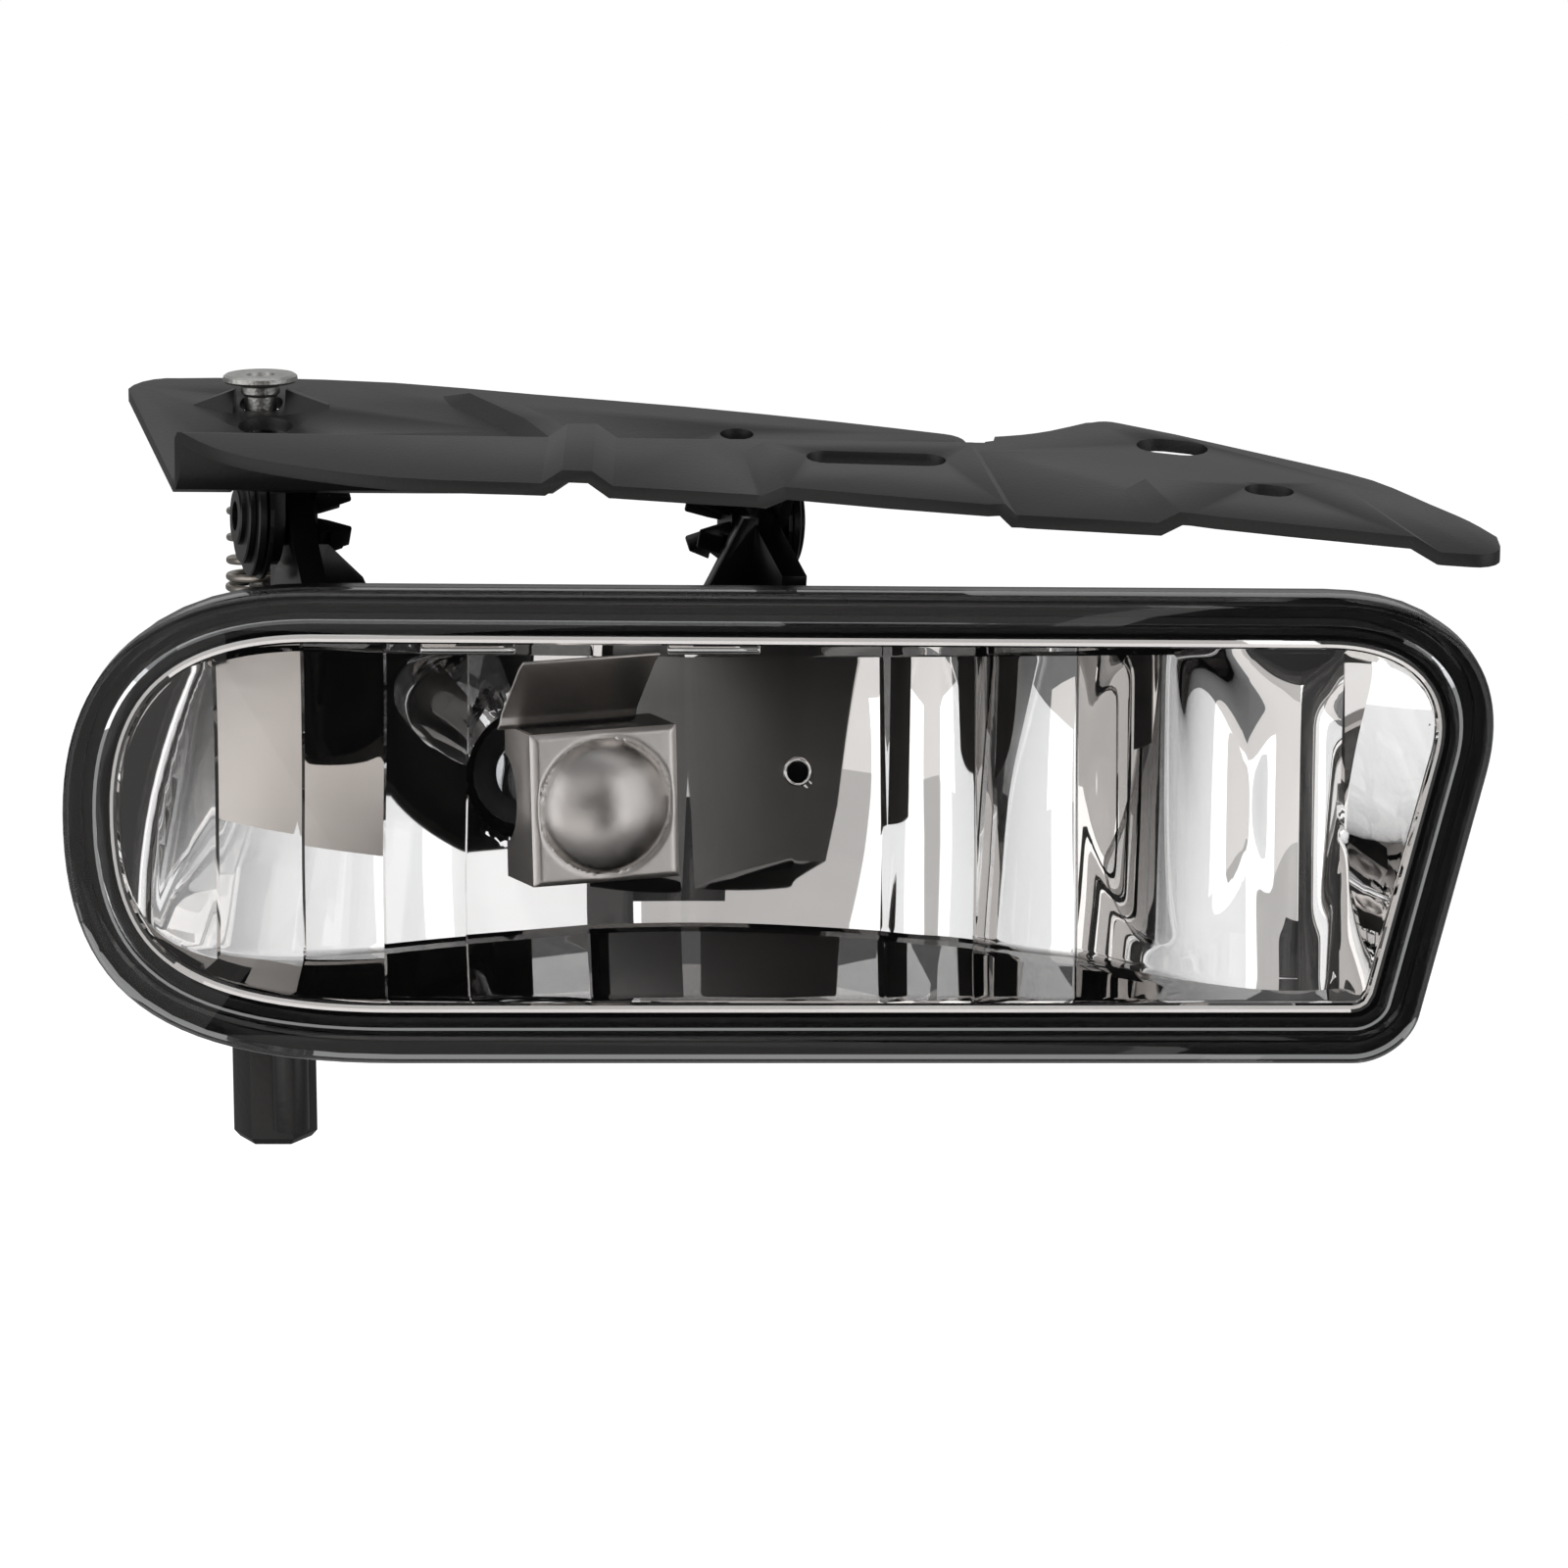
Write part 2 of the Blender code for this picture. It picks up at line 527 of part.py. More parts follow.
def make_shield(finish, shield):
    """Folded sheet in front of the bulb; its frame looks along the bulb, x across, y up, z forward."""
    h, t = SHIELD_HALF, SHIELD_SHEET
    face = block("bulb_shield", (-h, -h, -10.0), (h, h, 0.0), finish, shield)
    inside = block("shield_inside", (t - h, -h - 5.0, -15.0), (h - t, h - t, -t), None, shield)
    combine(face, inside, "DIFFERENCE")
    outer = [(12.0, -0.3)] + dome_curve(11.7, 6.0)
    combine(face, turned("shield_dome", outer, None, shield), "UNION")
    inner = [(11.0, -1.5)] + dome_curve(10.8, 5.4)
    combine(face, turned("shield_hollow", inner, None, shield), "DIFFERENCE")
    arm = prism("shield_arm", [(h - 0.5, -9.9), (h + 12.6, 1.6), (h + 12.6, 2.5), (h - 0.5, -9.0)],
                0.3 - h, h - 0.3, None, shield, axis="X")
    combine(face, arm, "UNION")
    notch = turned("shield_notch", [(5.2, -30.0), (5.2, 30.0)], None, shield, centre=(-1.0, -9.4), axis="X",
                   segments=16)
    combine(face, notch, "DIFFERENCE")
    return face


# ---- bulb --------------------------------------------------------------------------------------------
def make_bulb(paint, bulb):
    turned("bulb_glass", [(2.0, 1.0), (5.4, 1.0), (5.8, 3.0), (5.8, 28.0), (5.0, 31.5), (3.0, 33.6),
                          (0.8, 34.2), (0.8, 33.4), (2.6, 32.8), (4.4, 31.0), (5.0, 28.0), (5.0, 3.0),
                          (4.6, 1.8), (2.0, 1.8)],
           paint["glass"], bulb, segments=18, hollow=True)
    coil = []
    for i in range(61):
        turn = 2 * pi * i / 10
        coil.append(Vector((0.9 * cos(turn), -2.6 + 5.2 * i / 60, 23.0 + 0.9 * sin(turn))))
    tube("bulb_filament", [Vector((0.0, -2.9, 3.0)), Vector((0.0, -2.9, 22.6))] + coil
         + [Vector((0.0, 2.9, 22.6)), Vector((0.0, 2.9, 3.0))], 0.3, paint["filament"], bulb, sides=4)
    base = turned("bulb_base", [(9.4, 0.6), (9.4, -15.9), (12.8, -15.9), (12.8, -20.6), (9.0, -20.6)][::-1],
                  paint["bulb_plastic"], bulb, segments=28)
    for k in range(3):
        first = 120 * k + 14
        lug = prism(f"bulb_lug_{k}", arc((0, 0), 15.6, first, first + 34, 4)
                    + arc((0, 0), 11.8, first + 34, first, 4), -20.5, -18.0, None, bulb)
        combine(base, lug, "UNION")
    turned("bulb_seal", [(9.8, -15.4), (12.6, -15.4), (13.0, -14.6), (12.6, -13.8), (9.8, -13.8)],
           paint["rubber"], bulb, segments=28, hollow=True)
    plug = turned("bulb_connector", [(7.5, -37.4), (9.0, -35.6), (9.0, -20.9)], paint["bulb_plastic"],
                  bulb, segments=24)
    shroud = block("connector_shroud", (-9.5, -31.0, -37.2), (9.5, -2.0, -24.0), None, bulb)
    combine(plug, shroud, "UNION")
    cavity = block("connector_cavity", (-7.7, -40.0, -35.4), (7.7, -15.0, -25.8), None, bulb)
    combine(plug, cavity, "DIFFERENCE")
    for k, x in enumerate((-3.6, 3.6), 1):
        block(f"bulb_terminal_{k}", (x - 1.6, -24.0, -31.0), (x + 1.6, -15.0 - GAP, -30.2),
              paint["brass"], bulb)


def tube(name, path, radius, finish, parent, sides=6):
    """A round wire along a path, closed at both ends."""
    rings = []
    normal = Vector((1.0, 0.0, 0.0))
    for i, point in enumerate(path):
        ahead = (path[min(i + 1, len(path) - 1)] - path[max(i - 1, 0)]).normalized()
        normal = (normal - ahead * normal.dot(ahead))
        if normal.length < 0.01:
            normal = ahead.orthogonal()
        normal.normalize()
        across = ahead.cross(normal)
        spokes = [2 * pi * k / sides for k in range(sides)]
        rings.append([tuple(point + (normal * cos(a) + across * sin(a)) * radius) for a in spokes])
    verts, faces = loft(rings)
    faces.append(tuple(range(sides)))
    faces.append(tuple(range(len(verts) - sides, len(verts))))
    return add_object(name, verts, faces, finish, parent)


# ---- pivots ------------------------------------------------------------------------------------------
def tower_foot(q, s):
    """Height, from the tilt axis, where a tower stands on the sloping top of the housing."""
    y = PIVOT.y + q * cos(PIVOT_YAW) + s * sin(PIVOT_YAW)
    top = 36.4 - (HOUSING_TOP_FALL + 0.01) * (y - 21.0)
    return top - PIVOT.z + s * sin(PIVOT_FALL) + 2 * GAP


def make_pivot(side, mirrored, tower_outline, gusset, paint, pivot):
    """Pin, bushing and tower of one pivot; s runs along the tilt axis from the outer end inwards."""
    def s(value):
        return PIVOT_SPAN - value if mirrored else value
    pin = [(5.0, -3.6), (5.0, -2.4), (8.2, -2.2), (8.2, -0.9), (10.4, -0.7), (10.4, 0.6), (4.9, 0.6),
           (4.9, 9.8), (6.3, 9.9), (4.6, 12.0), (6.0, 12.1), (4.2, 14.2), (5.4, 14.3), (2.6, 16.6)]
    turned(f"pivot_pin_{side}", [(r, s(v)) for r, v in pin], paint["nylon"], pivot, axis="X", segments=24)
    bushing = [(5.3, 0.9), (11.0, 0.9), (11.0, 1.6), (6.2, 1.6), (6.2, 4.3), (5.3, 4.3)]
    turned(f"pivot_bushing_{side}", [(r, s(v)) for r, v in bushing], paint["nylon"], pivot, axis="X",
           segments=24, hollow=True)
    tower = prism(f"pivot_tower_{side}", tower_outline, min(s(4.7), s(9.2)), max(s(4.7), s(9.2)),
                  paint["moulding"], pivot, axis="X")
    q, top, foot_z, reach = gusset
    rings = [[(s(8.6), q + w, foot_z), (s(reach), q + w, foot_z), (s(reach - 1.5), q + w, foot_z + 3.0),
              (s(11.2), q + w, top), (s(8.6), q + w, top)] for w in (-1.6, 1.6)]
    verts, faces = loft(rings)
    faces += [tuple(range(5)), tuple(range(5, 10))]
    web = add_object(f"gusset_{side}", verts, faces, None, pivot)
    combine(tower, web, "UNION")
    hole = turned(f"pin_hole_{side}", [(5.3, -30.0), (5.3, PIVOT_SPAN + 30.0)], None, pivot, axis="X",
                  segments=24)
    combine(tower, hole, "DIFFERENCE")


# ---- aiming screw ------------------------------------------------------------------------------------
def make_adjuster(paint, column):
    """Everything on the aiming screw's axis; heights are from the lens centre."""
    wall = [(5.1, COLUMN_TOP), (7.3, COLUMN_TOP), (7.3, COLUMN_FOOT), (5.1, COLUMN_FOOT)]
    tower = turned("adjuster_column", wall, paint["moulding"], column, segments=24, hollow=True)
    foot = block("column_foot", (-7.6, 67.0 + GAP - SCREW_Y, -12.6), (7.6, 70.0 - SCREW_Y, 12.6), None,
                 column)
    web = block("column_web", (-2.2, 69.0 - SCREW_Y, -44.0), (2.2, -6.0, 18.0), None, column)
    rib = prism("column_rib", arc((3.9, -11.2), 3.3, 0, 337.5, 15), -72.8, -46.0, None, column)
    bridge = block("rib_bridge", (1.0, -12.0, -53.0), (6.4, -5.0, -46.5), None, column)
    combine(tower, foot, "UNION")
    combine(tower, web, "UNION")
    combine(tower, bridge, "UNION")
    combine(tower, rib, "UNION")
    knob = turned("adjuster_knob", [(4.7, COLUMN_TOP - 5.0), (4.7, COLUMN_FOOT - 1.0)], paint["moulding"],
                  column, segments=20)
    hexagon = [(7.7, COLUMN_FOOT - GAP), (7.7, KNOB_FOOT + 1.2), (6.6, KNOB_FOOT)]
    head = turned("knob_head", hexagon, None, column, segments=6)
    combine(knob, head, "UNION")
    thread = turned("knob_thread", [(3.3, COLUMN_FOOT - 8.0), (3.3, COLUMN_TOP)], None, column, segments=20)
    combine(knob, thread, "DIFFERENCE")
    turned("adjuster_screw", [(2.2, -6.0), (2.9, -5.0), (2.9, 60.0), (3.5, 60.6), (3.5, SCREW_HEAD_FOOT - 0.4),
                              (6.2, SCREW_HEAD_FOOT), (6.7, SCREW_HEAD_FOOT + 0.5), (6.5, SCREW_HEAD_TOP - 0.3),
                              (6.0, SCREW_HEAD_TOP), (2.4, SCREW_HEAD_TOP - 0.2), (1.6, SCREW_HEAD_TOP - 1.6)],
           paint["zinc"], column, segments=20)
    turned("spring_seat_lower", [(3.9, COLUMN_TOP + GAP), (7.6, COLUMN_TOP + GAP), (7.6, COLUMN_TOP + 1.3),
                                 (3.9, COLUMN_TOP + 1.3)], paint["nylon"], column, hollow=True)
    turned("spring_seat_upper", [(4.5, 53.4), (7.4, 53.4), (7.4, 54.6), (4.5, 54.6)],
           paint["nylon"], column, hollow=True)
    coils, steps = 9.5, 12
    low, high = COLUMN_TOP + 1.3 + GAP + 0.7, 53.4 - GAP - 0.7
    path = []
    for i in range(int(coils * steps) + 1):
        t = i / (coils * steps)
        turn = 2 * pi * i / steps
        radius = 6.4 - 0.9 * t
        path.append(Vector((radius * cos(turn), radius * sin(turn), low + (high - low) * t)))
    tube("adjuster_spring", path, 0.7, paint["spring"], column, sides=5)


def make_vent(paint, lamp):
    """Breather elbow on the rear wall and its cap."""
    x, z = VENT
    wall = housing_back(x, 0.0)
    nipple = turned("vent_elbow", [(1.2, wall - 6.0), (2.0, wall - 6.0), (2.0, wall + GAP), (3.6, wall + GAP),
                                   (3.6, wall + 1.6), (2.4, wall + 1.6), (2.4, wall + 9.0), (1.2, wall + 9.0)],
                    paint["rubber"], lamp, segments=14, hollow=True)
    cap = turned("vent_cap", [(2.7, wall + 4.0), (4.3, wall + 4.0), (4.3, wall + 11.0), (3.4, wall + 12.0),
                              (0.8, wall + 12.0), (0.8, wall + 9.6), (2.7, wall + 9.6)],
                 paint["nylon"], lamp, segments=14, hollow=True)
    for piece in (nipple, cap):
        rear_facing(piece, x, z)


def main():
    for old in list(bpy.data.objects):
        bpy.data.objects.remove(old)
    paint = {
        "steel": material("coated_steel", (0.035, 0.035, 0.037), 0.45, 0.4),
        "moulding": material("black_moulding", (0.012, 0.012, 0.013), 0.42),
        "nylon": material("black_nylon", (0.02, 0.02, 0.02), 0.5),
        "lens": material("clear_lens", (0.98, 0.99, 1.0), 0.03, transmission=1.0),
        "glass": material("bulb_glass", (0.98, 0.98, 1.0), 0.03, transmission=1.0),
        "mirror": material("aluminised", (0.9, 0.9, 0.9), 0.06, 1.0),
        "shield": material("shield_steel", (0.6, 0.57, 0.54), 0.3, 1.0),
        "zinc": material("zinc_plate", (0.6, 0.6, 0.6), 0.4, 1.0),
        "spring": material("spring_steel", (0.45, 0.43, 0.4), 0.35, 1.0),
        "rubber": material("black_rubber", (0.015, 0.015, 0.015), 0.8),
        "bulb_plastic": material("bulb_plastic", (0.02, 0.02, 0.022), 0.5),
        "brass": material("terminal_brass", (0.75, 0.6, 0.3), 0.3, 1.0),
        "filament": material("tungsten", (0.3, 0.3, 0.32), 0.4, 1.0),
    }
    lamp = frame("lamp_frame", LENS_CENTRE)
    forward = Vector((sin(BULB_YAW) * cos(BULB_PITCH), -cos(BULB_YAW) * cos(BULB_PITCH), sin(BULB_PITCH)))
    across = Vector((cos(BULB_YAW), sin(BULB_YAW), 0.0))
    bulb = frame("bulb_frame", BULB_PORT, (across, forward.cross(across), forward), lamp)
    shield = frame("shield_frame", (0, 0, SHIELD_REACH), None, bulb)
    axis = Vector((cos(PIVOT_YAW) * cos(PIVOT_FALL), sin(PIVOT_YAW) * cos(PIVOT_FALL), -sin(PIVOT_FALL)))
    rear = Vector((-sin(PIVOT_YAW), cos(PIVOT_YAW), 0.0))
    pivot = frame("pivot_frame", PIVOT, (axis, rear, axis.cross(rear)), lamp)
    column = frame("column_frame", (SCREW_X, SCREW_Y, 0.0), None, lamp)

    make_bracket(paint["steel"], pivot)
    make_housing(paint["moulding"], lamp, bulb)
    make_lens(paint["lens"], lamp)
    make_seal(paint["rubber"], lamp)
    make_reflector(paint["mirror"], lamp, bulb)
    make_reflector_screws(paint["zinc"], lamp)
    make_shield(paint["shield"], shield)
    make_bulb(paint, bulb)
    left_tower = [(-22.0, tower_foot(-22.0, 9.0)), (6.0, tower_foot(6.0, 9.0)), (7.4, -4.0),
                  *arc((0, 0), 6.9, 0, 150, 8), (-12.5, -3.0)]
    make_pivot("left", False, left_tower, (-9.6, -3.0, tower_foot(-11.0, 19.0), 19.0), paint, pivot)
    right_tower = [(-34.0, tower_foot(-34.0, 91.0)), (-12.0, tower_foot(-12.0, 91.0)), (-3.0, -7.0),
                   *arc((0, 0), 6.9, -50, 130, 8), (-34.0, -4.0)]
    make_pivot("right", True, right_tower, (-14.0, 3.0, tower_foot(-16.0, 88.0), 18.0), paint, pivot)
    make_adjuster(paint, column)
    make_vent(paint, lamp)


main()
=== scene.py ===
"""Bumper fog light: a fluted reflector behind a clear lens, hung from a folded steel bracket."""
import bisect
from math import cos, pi, radians, sin, tan

import bmesh
import bpy
from mathutils import Matrix, Vector


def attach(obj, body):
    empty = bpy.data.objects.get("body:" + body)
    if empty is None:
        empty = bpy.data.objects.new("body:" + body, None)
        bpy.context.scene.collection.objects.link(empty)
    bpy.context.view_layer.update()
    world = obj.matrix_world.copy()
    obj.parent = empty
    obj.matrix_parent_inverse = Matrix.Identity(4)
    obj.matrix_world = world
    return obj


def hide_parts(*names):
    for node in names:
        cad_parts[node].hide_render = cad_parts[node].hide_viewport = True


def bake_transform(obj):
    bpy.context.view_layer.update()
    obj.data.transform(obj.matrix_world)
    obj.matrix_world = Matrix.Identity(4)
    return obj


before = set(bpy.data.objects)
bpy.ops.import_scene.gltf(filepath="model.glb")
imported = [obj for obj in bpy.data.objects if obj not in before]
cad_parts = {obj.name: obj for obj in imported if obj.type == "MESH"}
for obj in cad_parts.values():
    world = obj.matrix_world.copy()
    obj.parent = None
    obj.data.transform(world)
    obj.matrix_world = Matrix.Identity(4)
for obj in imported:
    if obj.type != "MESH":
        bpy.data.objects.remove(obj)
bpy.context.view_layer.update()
MM = 0.001

# ---- view ----------------------------------------------------------------------------------------
# A long lens a little above the lamp, looking down on it by 13 degrees. Everything that belongs to
# the lamp is laid out in millimetres from the middle of the lens front, LAMP.
LAMP = Vector((-16.0, -17.0, -56.8))
CAMERA_DISTANCE, CAMERA_FALL = 950.0, radians(13.0)
camera_data = bpy.data.cameras.new("camera")
camera_data.lens = 130.2
camera_data.shift_x, camera_data.shift_y = 0.0025, 0.0269
camera_data.clip_end = 30.0
camera = bpy.data.objects.new("camera", camera_data)
bpy.context.scene.collection.objects.link(camera)
camera.location = (LAMP + Vector((0.0, -cos(CAMERA_FALL), sin(CAMERA_FALL))) * CAMERA_DISTANCE) * MM
camera.rotation_euler = (pi / 2 - CAMERA_FALL, 0.0, 0.0)
bpy.context.scene.camera = camera

# ---- studio --------------------------------------------------------------------------------------
# A pale floor well below the hanging lamp and a white surround, with soft boxes above, behind and at
# both sides. Upright cards in front, seen only in reflections, give the polished faces light and dark.
world = bpy.data.worlds.new("studio")
bpy.context.scene.world = world
world.use_nodes = True
world_nodes, world_links = world.node_tree.nodes, world.node_tree.links
WHITE_SEEN, WHITE_CAST = 1.0, 0.24  # the surround as the camera sees it, and as it lights the lamp
FLOOR_LEVEL, FLOOR_GLOW = -0.42, 0.85
ray = world_nodes.new("ShaderNodeLightPath")
surround = world_nodes.new("ShaderNodeMapRange")
surround.inputs["To Min"].default_value = WHITE_CAST
surround.inputs["To Max"].default_value = WHITE_SEEN
world_links.new(ray.outputs["Is Camera Ray"], surround.inputs["Value"])
world_links.new(surround.outputs["Result"], world_nodes["Background"].inputs["Strength"])
world_nodes["Background"].inputs["Color"].default_value = (1.0, 1.0, 1.0, 1.0)
bpy.context.scene.view_settings.view_transform = "Standard"

bpy.ops.object.select_all(action="DESELECT")
bpy.ops.mesh.primitive_plane_add(size=8.0, location=(0.0, 0.0, FLOOR_LEVEL))
floor = bpy.context.object
floor.name = "floor"
paper = bpy.data.materials.new("floor_paper")
paper.use_nodes = True
paper_shader = paper.node_tree.nodes["Principled BSDF"]
paper_shader.inputs["Base Color"].default_value = (0.8, 0.8, 0.8, 1.0)
paper_shader.inputs["Emission Color"].default_value = (1.0, 1.0, 1.0, 1.0)
paper_shader.inputs["Emission Strength"].default_value = FLOOR_GLOW
floor.data.materials.append(paper)
floor.visible_diffuse = floor.visible_glossy = floor.visible_transmission = False

BOX_AIM = Vector((0.0, 0.0, -0.06))
BOXES = [                       # name, middle in metres, width and height in metres, radiance
    ("box_above", (0.05, 0.1, 0.9), 1.9, 0.9, 0.6),
    ("box_behind", (0.1, 1.25, 0.5), 2.4, 0.8, 0.34),
    ("box_left", (-1.05, -0.5, 0.1), 1.2, 1.4, 0.85),
    ("box_right", (1.0, -0.6, 0.1), 1.1, 1.4, 0.85),
    ("box_strip", (0.2, -1.3, 0.1), 0.1, 1.2, 0.8),
]
for name, middle, width, height, radiance in BOXES:
    light = bpy.data.lights.new(name, "AREA")
    light.shape = "RECTANGLE"
    light.size, light.size_y = width, height
    light.energy = radiance * pi * width * height
    box = bpy.data.objects.new(name, light)
    bpy.context.scene.collection.objects.link(box)
    box.location = middle
    box.rotation_euler = (Vector(middle) - BOX_AIM).to_track_quat("Z", "Y").to_euler()
    box.visible_camera = False

CARD_TINT = (1.0, 0.965, 0.94, 1.0)
CARDS = [                       # name, middle in metres, width and height in metres, glow
    ("card_dark", (0.0, -1.25, 0.13), 0.58, 0.44, 0.015),
    ("card_tall", (0.425, -1.12, 0.0), 0.53, 1.3, 0.03),
    ("card_mid", (0.84, -1.1, 0.0), 0.28, 1.3, 0.24),
    ("card_low", (0.0, -1.18, -0.62), 3.0, 0.7, 0.95),
    ("card_wall", (0.0, -1.7, 0.1), 4.0, 2.4, 0.6),
]
for name, middle, width, height, glow in CARDS:
    bpy.ops.object.select_all(action="DESELECT")
    bpy.ops.mesh.primitive_plane_add(size=1.0, location=middle, rotation=(pi / 2, 0.0, 0.0))
    card = bpy.context.object
    card.name = name
    card.scale = (width, height, 1.0)
    paint = bpy.data.materials.new(f"{name}_paint")
    paint.use_nodes = True
    paint_shader = paint.node_tree.nodes["Principled BSDF"]
    paint_shader.inputs["Base Color"].default_value = (0.0, 0.0, 0.0, 1.0)
    paint_shader.inputs["Emission Color"].default_value = CARD_TINT
    paint_shader.inputs["Emission Strength"].default_value = glow
    card.data.materials.append(paint)
    card.visible_camera = card.visible_diffuse = card.visible_shadow = False

# ---- mounting bracket ----------------------------------------------------------------------------
# One piece of pressed sheet steel, 2.2 mm thick, folded along a step, with beads and pads pressed up.
# It is blanked, pressed and then dip-coated: satin dark grey with a fine orange peel.
BRACKET_GREY, BRACKET_PALE = (0.013, 0.0128, 0.0128, 1.0), (0.022, 0.0215, 0.0215, 1.0)


def grained(name, low, high, roughness, grain, bump, metallic=0.0, mottle=25.0, sheen_at=0.5):
    """A moulded, coated or cast surface: two shades mottled, a fine grain in height and in gloss."""
    made = bpy.data.materials.new(name)
    made.use_nodes = True
    nodes, links = made.node_tree.nodes, made.node_tree.links
    shader = nodes["Principled BSDF"]
    place = nodes.new("ShaderNodeTexCoord")
    broad = nodes.new("ShaderNodeTexNoise")
    broad.inputs["Scale"].default_value = mottle
    broad.inputs["Detail"].default_value = 5.0
    fine = nodes.new("ShaderNodeTexNoise")
    fine.inputs["Scale"].default_value = grain
    fine.inputs["Detail"].default_value = 3.0
    shade = nodes.new("ShaderNodeValToRGB")
    shade.color_ramp.elements[0].position, shade.color_ramp.elements[0].color = 0.3, low
    shade.color_ramp.elements[1].position, shade.color_ramp.elements[1].color = 0.75, high
    gloss = nodes.new("ShaderNodeMapRange")
    gloss.inputs["To Min"].default_value = roughness * 0.8
    gloss.inputs["To Max"].default_value = roughness * 1.25
    relief = nodes.new("ShaderNodeBump")
    relief.inputs["Strength"].default_value = bump
    relief.inputs["Distance"].default_value = 0.0004
    for noise in (broad, fine):
        links.new(place.outputs["Object"], noise.inputs["Vector"])
    links.new(broad.outputs["Fac"], shade.inputs["Fac"])
    links.new(shade.outputs["Color"], shader.inputs["Base Color"])
    links.new(broad.outputs["Fac"], gloss.inputs["Value"])
    links.new(gloss.outputs["Result"], shader.inputs["Roughness"])
    links.new(fine.outputs["Fac"], relief.inputs["Height"])
    links.new(relief.outputs["Normal"], shader.inputs["Normal"])
    shader.inputs["Metallic"].default_value = metallic
    shader.inputs["Specular IOR Level"].default_value = sheen_at
    return made


def apply(piece, kind, **settings):
    """Give the active piece a modifier and apply it."""
    step = piece.modifiers.new(kind.lower(), kind)
    for name, value in settings.items():
        setattr(step, name, value)
    bpy.ops.object.modifier_apply(modifier=step.name)


def eased_copy(node, name, body, finish, width=0.25, angle=30.0, segments=2):
    """The node's own shape with its sharp edges eased by width, in millimetres."""
    bpy.ops.object.select_all(action="DESELECT")
    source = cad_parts[node]
    source.select_set(True)
    bpy.context.view_layer.objects.active = source
    bpy.ops.object.duplicate()
    piece = bpy.context.object
    piece.name = name
    bpy.ops.object.mode_set(mode="EDIT")
    bpy.ops.mesh.select_all(action="SELECT")
    bpy.ops.mesh.remove_doubles(threshold=0.00001)
    bpy.ops.mesh.dissolve_limited(angle_limit=radians(0.5))
    bpy.ops.object.mode_set(mode="OBJECT")
    piece.data.materials.clear()
    piece.data.materials.append(finish)
    apply(piece, "BEVEL", width=width * MM, segments=segments, limit_method="ANGLE",
          angle_limit=radians(angle), use_clamp_overlap=True)
    bpy.ops.object.shade_smooth_by_angle(angle=radians(angle))
    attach(piece, body)
    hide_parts(node)


coated_steel = grained("coated_steel", BRACKET_GREY, BRACKET_PALE, 0.42, 1400.0, 0.12, sheen_at=0.4)
eased_copy("mounting_bracket", "bracket_sheet", "bracket", coated_steel, width=0.3)

# ---- housing -------------------------------------------------------------------------------------
# A deep black moulding. Its rim has a trough that the lens edge is glued into; behind, it carries
# the boss of the aiming column, the bulb's collar with its three tabs, and the breather.
black_moulding = grained("black_moulding", (0.006, 0.006, 0.0065, 1.0), (0.012, 0.012, 0.0125, 1.0),
                         0.24, 700.0, 0.0, sheen_at=0.35)
eased_copy("housing", "housing_shell", "lamp", black_moulding)

# ---- reflector -----------------------------------------------------------------------------------
# One thin moulding with a vacuum-coated mirror face: a rounded rim, a flat floor, a ceiling that
# falls to the rear, and a back of upright flutes that spread the light sideways.
LENS_RAKE = tan(radians(11.0))
RIGHT_TOP, RIGHT_FOOT = Vector((126.5, 37.2)), Vector((105.2, -39.4))
CORNERS = [                      # corner of the lens, tangent before and after it, fullness of its curve
    (Vector((-120.4, 38.6)), 36.6, 42.0, 0.65),
    (RIGHT_TOP, 34.5, 30.0, 0.61),
    (RIGHT_FOOT, 8.3, 9.0, 0.55),
    (Vector((-120.4, -39.4)), 56.0, 41.4, 0.72),
]
WIDE_CORNER = 70.0               # a corner with longer tangents is moved in square to its own curve


def lens_outline(inset, steps=26):
    """The lens edge moved in by inset, as one closed run of (x, z), clockwise from the left end."""
    run = []
    for k, (corner, before, after, fullness) in enumerate(CORNERS):
        came = (corner - CORNERS[k - 1][0]).normalized()
        goes = (CORNERS[(k + 1) % 4][0] - corner).normalized()
        half = (pi - came.angle(goes)) / 2
        wide = before + after > WIDE_CORNER
        shift = 0.0 if wide else inset
        inner = corner + (goes - came).normalized() * (shift / sin(half))
        start = inner - came * max(before - shift / tan(half), 1.5)
        end = inner + goes * max(after - shift / tan(half), 1.5)
        hold_a, hold_b = start.lerp(inner, fullness), end.lerp(inner, fullness)
        for i in range(steps + 1):
            t = i / steps
            point = (start * (1 - t) ** 3 + hold_a * 3 * t * (1 - t) ** 2
                     + hold_b * 3 * t * t * (1 - t) + end * t ** 3)
            if wide:
                along = ((hold_a - start) * (1 - t) ** 2 + (hold_b - hold_a) * 2 * t * (1 - t)
                         + (end - hold_b) * t * t).normalized()
                point += Vector((along.y, -along.x)) * inset
            run.append(point)
    return run


def edge_heights(inset):
    """The same edge as two runs from left to right, one over the top and one under the foot."""
    run = lens_outline(inset)
    left = min(range(len(run)), key=lambda i: run[i].x)
    run = run[left:] + run[:left]
    right = max(range(len(run)), key=lambda i: run[i].x)
    return run[:right + 1], [run[0]] + run[:right - 1:-1]


def height_at(run, x):
    """The height of a run where it crosses x."""
    k = min(max(bisect.bisect_left([p.x for p in run], x), 1), len(run) - 1)
    a, b = run[k - 1], run[k]
    return a.y + (b.y - a.y) * (x - a.x) / max(b.x - a.x, 1e-6)


